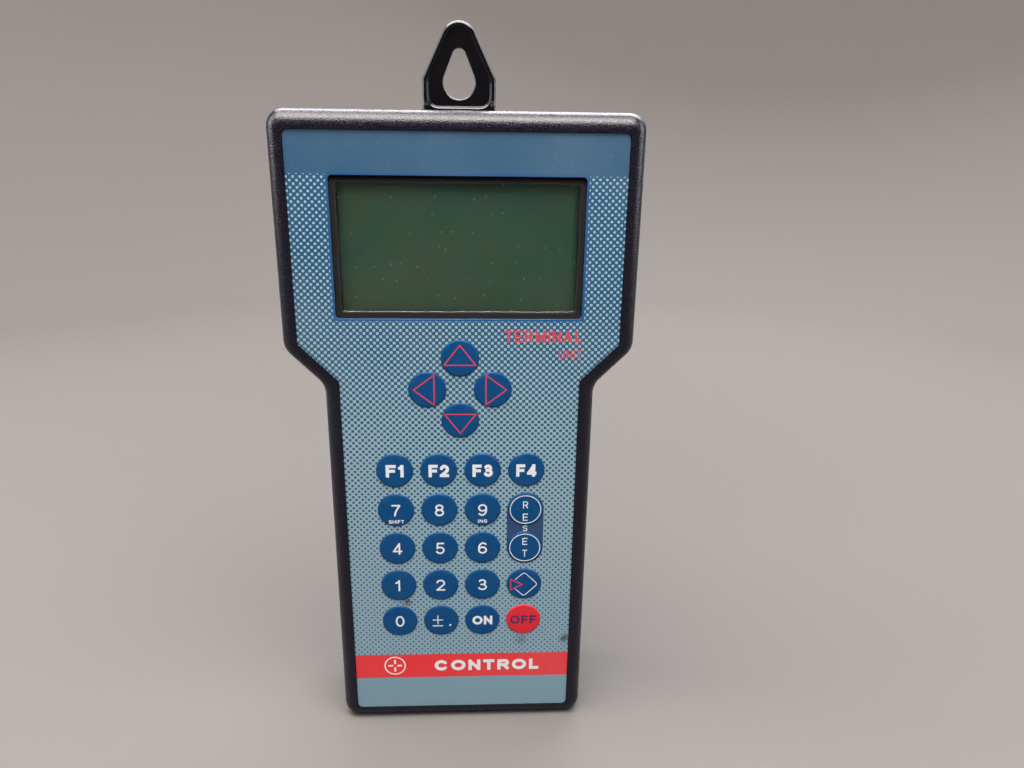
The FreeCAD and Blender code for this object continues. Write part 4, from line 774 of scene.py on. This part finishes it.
for number in range(1, 5):
    def draw_function(form, x, z, number=number):
        wide = 6.2 if number == 1 else 7.1
        add_words(
            form, f"F{number}", x, z, FUNCTION_HEIGHT, KEY_FRONT, FUNCTION_STROKE, wide, FUNCTION_GAP
        )

    key_legend(f"key_f{number}", "legend", LEGEND_WHITE, draw_function)


def draw_on(form, x, z):
    add_words(form, "ON", x, z, 3.75, KEY_FRONT, stroke=0.92, width=7.4, gap=0.12)


def draw_off(form, x, z):
    add_words(form, "OFF", x, z, 3.6, KEY_FRONT, stroke=0.72, width=9.7, gap=0.18)


def draw_sign(form, x, z):
    """A plus over a minus, and a dot. The plus's upright stops just short of its bar."""
    for start, end in (
        ((-3.2, 0.35), (0.7, 0.35)),
        ((-1.25, -1.5), (-1.25, 0.17)),
        ((-1.25, 0.53), (-1.25, 2.3)),
        ((-3.2, -2.2), (0.7, -2.2)),
    ):
        ends = [(x + a, z + b) for a, b in (start, end)]
        line(form, ends, 0.32, KEY_FRONT, closed=False)
    dot = circle_points(x + 3.3, z - 1.9, 0.38, 20)
    prism(form, dot, None, KEY_FRONT - INK, KEY_FRONT + ROOT)


def arrow_points(x, z, direction):
    """Corners of an outlined triangle that points along direction, in degrees."""
    corners = [(4.6, 0.0), (-2.3, 5.3), (-2.3, -5.3)]
    turn = Matrix.Rotation(math.radians(direction), 2)
    return [tuple(Vector((x, z)) + turn @ Vector(corner)) for corner in corners]


def rounded(points, radius, count=6):
    """These corners, each replaced by a short arc. The first and last stay as they are."""
    made = [points[0]]
    for before, corner, after in zip(points, points[1:], points[2:]):
        here = Vector(corner)
        start = here + (Vector(before) - here).normalized() * radius
        end = here + (Vector(after) - here).normalized() * radius
        for i in range(count + 1):
            t = i / count
            made.append(tuple(start * (1 - t) ** 2 + here * 2 * t * (1 - t) + end * t * t))
    made.append(points[-1])
    return made


key_legend("key_on", "legend", LEGEND_WHITE, draw_on)
key_legend("key_off", "legend", LEGEND_NAVY, draw_off)
key_legend("key_plus_minus", "legend", LEGEND_WHITE, draw_sign)

for side, direction in (("right", 0), ("up", 90), ("left", 180), ("down", 270)):
    def draw_arrow(form, x, z, direction=direction):
        line(form, arrow_points(x, z, direction), 0.36, KEY_FRONT)

    key_legend(f"key_arrow_{side}", "legend", LEGEND_RED, draw_arrow)


def draw_enter_frame(form, x, z):
    corners = [(-3.3, 1.9), (0, 5.0), (5.0, 0), (0, -5.0), (-3.3, -1.9)]
    shape = rounded([(x + a, z + b) for a, b in corners], 1.1)
    line(form, shape, 0.26, KEY_FRONT, closed=False)


def draw_enter_arrow(form, x, z):
    corners = [(-0.6, -0.15), (-4.9, 2.05), (-4.9, -2.35)]
    line(form, [(x + a, z + b) for a, b in corners], 0.34, KEY_FRONT)


key_legend("key_enter", "frame", LEGEND_WHITE, draw_enter_frame)
key_legend("key_enter", "arrow", LEGEND_RED, draw_enter_arrow)

# The letters on the two reset keys, and how far each is above the key's middle.
RESET_LETTERS = {
    "key_reset_upper": (("R", 1.85), ("E", -3.0)),
    "key_reset_lower": (("E", 2.5), ("T", -2.35)),
}
for name, letters in RESET_LETTERS.items():
    def draw_reset(form, x, z, letters=letters):
        line(form, circle_points(x, z, 5.45), 0.27, KEY_FRONT)
        for letter, up in letters:
            add_words(form, letter, x, z + up, 2.8, KEY_FRONT, stroke=0.34, width=1.8)

    key_legend(name, "legend", LEGEND_WHITE, draw_reset)

# ---------------------------------------------------------------- print on the foil

EMBLEM = Vector((-25.4, 23.7))      # middle of the plain ring with four spokes

form = bmesh.new()
between = (centre("key_reset_lower") + centre("key_reset_upper")) / 2
add_words(form, "S", between.x, between.z, 2.3, LABEL_FRONT, stroke=0.32, width=1.7)
add_words(form, "CONTROL", 9.3, 23.5, 4.7, LABEL_FRONT, stroke=1.3, width=39.5)
line(form, circle_points(EMBLEM.x, EMBLEM.y, 3.8), 0.45, LABEL_FRONT)
for turn in range(4):
    tip = Matrix.Rotation(math.radians(90 * turn), 2)
    spoke = [EMBLEM + tip @ Vector((reach, 0)) for reach in (0.8, 2.6)]
    line(form, spoke, 0.7, LABEL_FRONT, closed=False)
new_piece("print_band", form, "housing", LEGEND_WHITE)

form = bmesh.new()
add_words(form, "TERMINAL", 27.5, 152.8, 4.1, LABEL_FRONT, stroke=0.72, width=25.6, gap=0.24)
add_words(form, "UNIT", 36.8, 146.6, 3.0, LABEL_FRONT, stroke=0.42, width=7.8, gap=0.24)
new_piece("print_heading", form, "housing", PRINT_RED)

# ---------------------------------------------------------------- display opening


def rounded_box_points(x, z, half_width, half_height, radius, count=8):
    """Outline of a box around (x, z) with round corners."""
    made = []
    for corner in range(4):
        cx = x + (half_width - radius) * (1 if corner in (0, 3) else -1)
        cz = z + (half_height - radius) * (1 if corner < 2 else -1)
        for i in range(count + 1):
            turn = math.radians(90 * corner + 90 * i / count)
            made.append((cx + radius * math.cos(turn), cz + radius * math.sin(turn)))
    return made


def sweep(target, profile, half_width, half_height, radius, x, z):
    """Adds a closed frame whose section is profile, (inset, y) points in order."""
    rings = []
    for inset, y in profile:
        corner = max(radius - inset, 0.2)
        ring = rounded_box_points(x, z, half_width - inset, half_height - inset, corner)
        rings.append([target.verts.new((a * MM, y * MM, b * MM)) for a, b in ring])
    count = len(rings[0])
    for k, one in enumerate(rings):
        two = rings[(k + 1) % len(rings)]
        for i in range(count):
            j = (i + 1) % count
            target.faces.new((one[i], one[j], two[j], two[i]))


# The dark step around the view of the display, from behind the pane's seal to the bezel.
LIP_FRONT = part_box("window_seal")[1].y / MM + 0.02
LIP_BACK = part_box("lcd_bezel")[0].y / MM - 0.12
LIP = [
    (-0.02, LIP_FRONT), (0.16, LIP_FRONT), (0.30, LIP_FRONT + 0.05), (0.38, LIP_FRONT + 0.14),
    (0.42, LIP_FRONT + 0.3), (0.42, LIP_BACK), (-0.02, LIP_BACK),
]
LIP_HALF_WIDTH, LIP_HALF_HEIGHT, LIP_CORNER = 38.2, 20.7, 1.0
form = bmesh.new()
sweep(form, LIP, LIP_HALF_WIDTH, LIP_HALF_HEIGHT, LIP_CORNER, 0.0, WINDOW_HEIGHT)
smooth(new_piece("view_lip", form, "housing", SURFACES["gloss_black"]), 50)

# ---------------------------------------------------------------- hanging eye and small parts


def soften(node_name, width_mm):
    """Rounds the sharp edges of a CAD node with modifiers, so that they catch light."""
    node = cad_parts[node_name]
    weld = node.modifiers.new("weld", "WELD")
    weld.merge_threshold = 1e-6
    bevel = node.modifiers.new("round", "BEVEL")
    bevel.width = width_mm * MM
    bevel.segments = 2
    bevel.limit_method = "ANGLE"
    bevel.angle_limit = math.radians(30.0)
    bevel.use_clamp_overlap = False
    even = node.modifiers.new("even", "WEIGHTED_NORMAL")
    even.weight = 80


def steps(start, end, count):
    """Points from start up to, but not at, end."""
    a, b = Vector(start), Vector(end)
    return [tuple(a.lerp(b, i / count)) for i in range(count)]


def both_sides(right):
    """A whole outline from its right half, which runs from the bottom middle to the top."""
    return right + [(-x, z) for x, z in reversed(right[1:-1])]


# How many points each stretch of the right half of the eye's outline gets.
BOTTOM_STEPS, CORNER_STEPS, SIDE_STEPS, TAPER_STEPS, TIP_STEPS = 5, 8, 4, 8, 8


def eye_ring(inset, bottom, corner):
    """The eye's outline, this far inside its edge, down to a flat bottom with round corners."""
    side = EYE_HALF - inset
    shoulder = EYE_APEX - inset / math.sin(EYE_TAPER) - side / math.tan(EYE_TAPER)
    lean = math.degrees(EYE_TAPER)
    tip = arc(0, EYE_TOP - EYE_TIP, EYE_TIP - inset, EYE_TIP - inset, lean, 90, TIP_STEPS)
    right = steps((0, bottom), (side - corner, bottom), BOTTOM_STEPS)
    right += arc(side - corner, bottom + corner, corner, corner, -90, 0, CORNER_STEPS)[:-1]
    right += steps((side, bottom + corner), (side, shoulder), SIDE_STEPS)
    right += steps((side, shoulder), tip[0], TAPER_STEPS) + tip
    return both_sides(right)


def hole_ring(grow):
    """The drop-shaped hole's outline, with as many points as eye_ring."""
    low, high = HOLE_ROUND + grow, HOLE_TIP + grow
    lean = math.degrees(math.asin((HOLE_ROUND - HOLE_TIP) / (HOLE_HIGH - HOLE_LOW)))
    round_side = arc(0, HOLE_LOW, low, low, -90, lean, BOTTOM_STEPS + CORNER_STEPS + SIDE_STEPS)
    tip = arc(0, HOLE_HIGH, high, high, lean, 90, TIP_STEPS)
    return both_sides(round_side[:-1] + steps(round_side[-1], tip[0], TAPER_STEPS) + tip)


def turn_corner(start, end, y_first):
    """Points of (inset, y) on a quarter round that leaves start along y, or else along inset."""
    made = []
    count = 4
    for i in range(count + 1):
        turn = math.radians(90 * i / count)
        across, along = (math.sin(turn), 1 - math.cos(turn))
        if y_first:
            across, along = along, across
        inset = start[0] + (end[0] - start[0]) * across
        made.append((inset, start[1] + (end[1] - start[1]) * along))
    return made


def make_eye():
    """The eye as one closed solid: rings from the hole, over recess, rim and back, to the hole."""
    lip, fillet, edge = 0.45, 0.25, 0.85    # radii at the hole, in the recess and outside
    floor = EYE_FRONT + EYE_RECESS
    rings = []
    for grow, y in turn_corner((0, floor + lip), (lip, floor), True):
        rings.append((hole_ring(grow), y))
    recess = turn_corner((EYE_RIM + fillet, floor), (EYE_RIM, floor - fillet), False)
    recess += turn_corner((EYE_RIM, EYE_FRONT + edge), (EYE_RIM - edge, EYE_FRONT), True)
    for inset, y in recess:
        lift = inset - EYE_RIM
        rings.append((eye_ring(inset, RECESS_BOTTOM + lift, RECESS_CORNER - lift), y))
    outside = turn_corner((edge, EYE_FRONT), (0, EYE_FRONT + edge), False)
    outside += turn_corner((0, EYE_BACK - edge), (edge, EYE_BACK), True)
    for inset, y in outside:
        rings.append((eye_ring(inset, EYE_LOW.z + inset, 1.0), y))
    for grow, y in turn_corner((lip, EYE_BACK), (0, EYE_BACK - lip), False):
        rings.append((hole_ring(grow), y))
    form = bmesh.new()
    loops = [[form.verts.new((x * MM, y * MM, z * MM)) for x, z in ring] for ring, y in rings]
    for one, two in zip(loops, loops[1:] + loops[:1]):
        for i in range(len(one)):
            j = (i + 1) % len(one)
            form.faces.new((one[i], one[j], two[j], two[i]))
    return form


EYE_BLACK = eye_surface()
eye = new_piece("eye_body", make_eye(), "hanging_eye", EYE_BLACK)
smooth(eye, 24)
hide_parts("hanging_eye")

# The wide foot that keeps the eye in its guide.
form = bmesh.new()
for side in (-1, 1):
    x0, x1 = side * (EYE_HALF - FOOT_OVERLAP), side * EYE_HIGH.x
    middle_x, middle_z = (x0 + x1) / 2, (EYE_LOW.z + FOOT_TOP) / 2
    half_width, half_height = abs(x1 - x0) / 2, (FOOT_TOP - EYE_LOW.z) / 2
    ring = rounded_box_points(middle_x, middle_z, half_width, half_height, FOOT_CORNER)
    prism(form, ring, None, EYE_FRONT + FOOT_EASE, EYE_BACK - FOOT_EASE)
foot = new_piece("eye_foot", form, "hanging_eye", EYE_BLACK)
smooth(foot)
soften("battery_door", 0.15)
soften("rear_label", 0.08)

# The blank plate on the back: a printed frame with empty ruled rows.
plate_low, plate_high = [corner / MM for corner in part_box("rear_label")]
plate_middle = (plate_low + plate_high) / 2
PLATE_BACK = plate_high.y
FRAME_HALF_WIDTH, FRAME_HALF_HEIGHT, FRAME_CORNER, FRAME_STROKE = 22.2, 10.2, 1.2, 0.35
ROW_END, ROW_BREAK, FIRST_ROW, ROW_PITCH, ROW_STROKE = 20.6, 6.0, 4.6, 3.7, 0.28
form = bmesh.new()


def back_line(points, width):
    """A printed line on the back, where proud means towards higher y."""
    left, right = offsets(points, width, False)
    prism(form, left + list(reversed(right)), None, PLATE_BACK - ROOT, PLATE_BACK + INK)


frame_line = rounded_box_points(
    plate_middle.x, plate_middle.z, FRAME_HALF_WIDTH, FRAME_HALF_HEIGHT, FRAME_CORNER
)
left, right = offsets(frame_line, FRAME_STROKE, True)
prism(form, left, right, PLATE_BACK - ROOT, PLATE_BACK + INK)
for row in range(4):
    z = plate_middle.z + FIRST_ROW - row * ROW_PITCH
    back_line([(-ROW_END, z), (-6.5 if row % 2 else 3.0, z)], ROW_STROKE)
    back_line([(ROW_BREAK, z), (ROW_END, z)], ROW_STROKE)
new_piece("plate_print", form, "housing", PRINT_GREY)

# ---------------------------------------------------------------- stage, camera and lights


def floor_surface():
    """Matt pale grey, with painted shade: darker under the object and behind the camera than at the
    sides.
    """
    s = Surface("floor")
    x, y = s.axis("X"), s.axis("Y")
    # Painted shade: a darker colour near the object and towards the camera's side, so the floor
    # renders dimmer there; further out it is paler.
    painted_shade_tone = s.mix(s.ramp(length(s, x, y), 100.0, 900.0), rgb(99, 97, 95), rgb(150, 146, 143))
    painted_shade_tone = s.mix(s.ramp(y, -950.0, -450.0, 1.0, 0.0), painted_shade_tone, rgb(112, 109, 107))
    s.set(Base_Color=painted_shade_tone, Roughness=0.75, Normal=s.bump(s.noise(0.9, 4.0), 0.06, 0.5))
    return s.material


def make_stage():
    """A plain round floor that curves up into a backdrop on every side, far from the object."""
    flat, bend, height = 0.75, 0.45, 1.5        # metres
    bend_steps, count = 24, 160
    section = [(flat, 0.0)]
    for i in range(1, bend_steps + 1):
        turn = math.radians(90 * i / bend_steps)
        section.append((flat + bend * math.sin(turn), bend * (1 - math.cos(turn))))
    section.append((flat + bend, height))
    form = bmesh.new()
    hub = form.verts.new((0, 0, 0))
    rings = []
    for radius, z in section:
        turns = [2 * math.pi * i / count for i in range(count)]
        rings.append([form.verts.new((radius * math.cos(t), radius * math.sin(t), z)) for t in turns])
    for i in range(count):
        j = (i + 1) % count
        form.faces.new((hub, rings[0][i], rings[0][j]))
        for one, two in zip(rings, rings[1:]):
            form.faces.new((one[i], two[i], two[j], one[j]))
    mesh = bpy.data.meshes.new("floor")
    form.to_mesh(mesh)
    form.free()
    mesh.materials.append(floor_surface())
    for face in mesh.polygons:
        face.use_smooth = True
    floor = bpy.data.objects.new("floor", mesh)
    bpy.context.scene.collection.objects.link(floor)


def make_lamp(name, place, aim, size, watts, colour, mirrored=True, lit=True):
    """An area lamp, placed in metres. Not mirrored, it gives no gloss; not lit, only gloss."""
    data = bpy.data.lights.new(name, "AREA")
    data.shape = "RECTANGLE"
    data.size, data.size_y = size
    data.energy = watts
    data.color = colour
    lamp = bpy.data.objects.new(name, data)
    lamp.location = place
    lamp.rotation_mode = "QUATERNION"
    lamp.rotation_quaternion = (Vector(aim) - Vector(place)).to_track_quat("-Z", "Y")
    lamp.visible_glossy = mirrored
    lamp.visible_diffuse = lit
    bpy.context.scene.collection.objects.link(lamp)


make_stage()
WARM, NEUTRAL, COOL = (1.0, 0.92, 0.87), (0.98, 0.98, 1.0), (0.90, 0.95, 1.0)
EYE_LEVEL, MIDDLE = (0, 0, 0.2), (0, 0, 0.12)      # what the lamps aim at, in metres
make_lamp("overhead", (-0.05, -0.13, 0.80), MIDDLE, (0.9, 0.36), 16.0, WARM)
make_lamp("front", (-0.32, -0.78, 0.85), MIDDLE, (0.9, 0.5), 5.0, NEUTRAL, mirrored=False)
make_lamp("back", (0.35, 0.72, 0.75), MIDDLE, (0.9, 0.5), 5.0, NEUTRAL)
make_lamp("gleam_front", (-0.05, -0.36, 0.78), EYE_LEVEL, (1.0, 0.3), 25.0, WARM, lit=False)
make_lamp("gleam_back", (0.05, 0.45, 0.78), EYE_LEVEL, (1.0, 0.3), 16.0, NEUTRAL, lit=False)
make_lamp("gleam_left", (-0.72, -0.05, 0.48), EYE_LEVEL, (0.3, 0.6), 7.0, NEUTRAL, lit=False)
make_lamp("gleam_right", (0.72, -0.05, 0.40), EYE_LEVEL, (0.25, 0.5), 4.5, COOL, lit=False)

world = bpy.data.worlds.new("studio")
world.use_nodes = True
background = world.node_tree.nodes["Background"]
background.inputs["Color"].default_value = (0.80, 0.82, 0.86, 1)
background.inputs["Strength"].default_value = 0.12
bpy.context.scene.world = world
bpy.context.scene.view_settings.view_transform = "Standard"

# The camera solved from the key grid in the photograph, in metres and as unit directions.
CAMERA_PLACE = Vector((0.00519, -0.26861, 0.21927))
CAMERA_RIGHT = Vector((0.99891, -0.04458, 0.01356))
CAMERA_FORWARD = Vector((0.04658, 0.94772, -0.31569))
CAMERA_UP = CAMERA_RIGHT.cross(CAMERA_FORWARD)

data = bpy.data.cameras.new("camera")
data.lens = 27.47
data.sensor_width = 36.0
data.clip_start = 0.01
camera = bpy.data.objects.new("camera", data)
axes = Matrix((CAMERA_RIGHT, CAMERA_UP, -CAMERA_FORWARD)).transposed()
camera.matrix_world = Matrix.Translation(CAMERA_PLACE) @ axes.to_4x4()
bpy.context.scene.collection.objects.link(camera)
bpy.context.scene.camera = camera
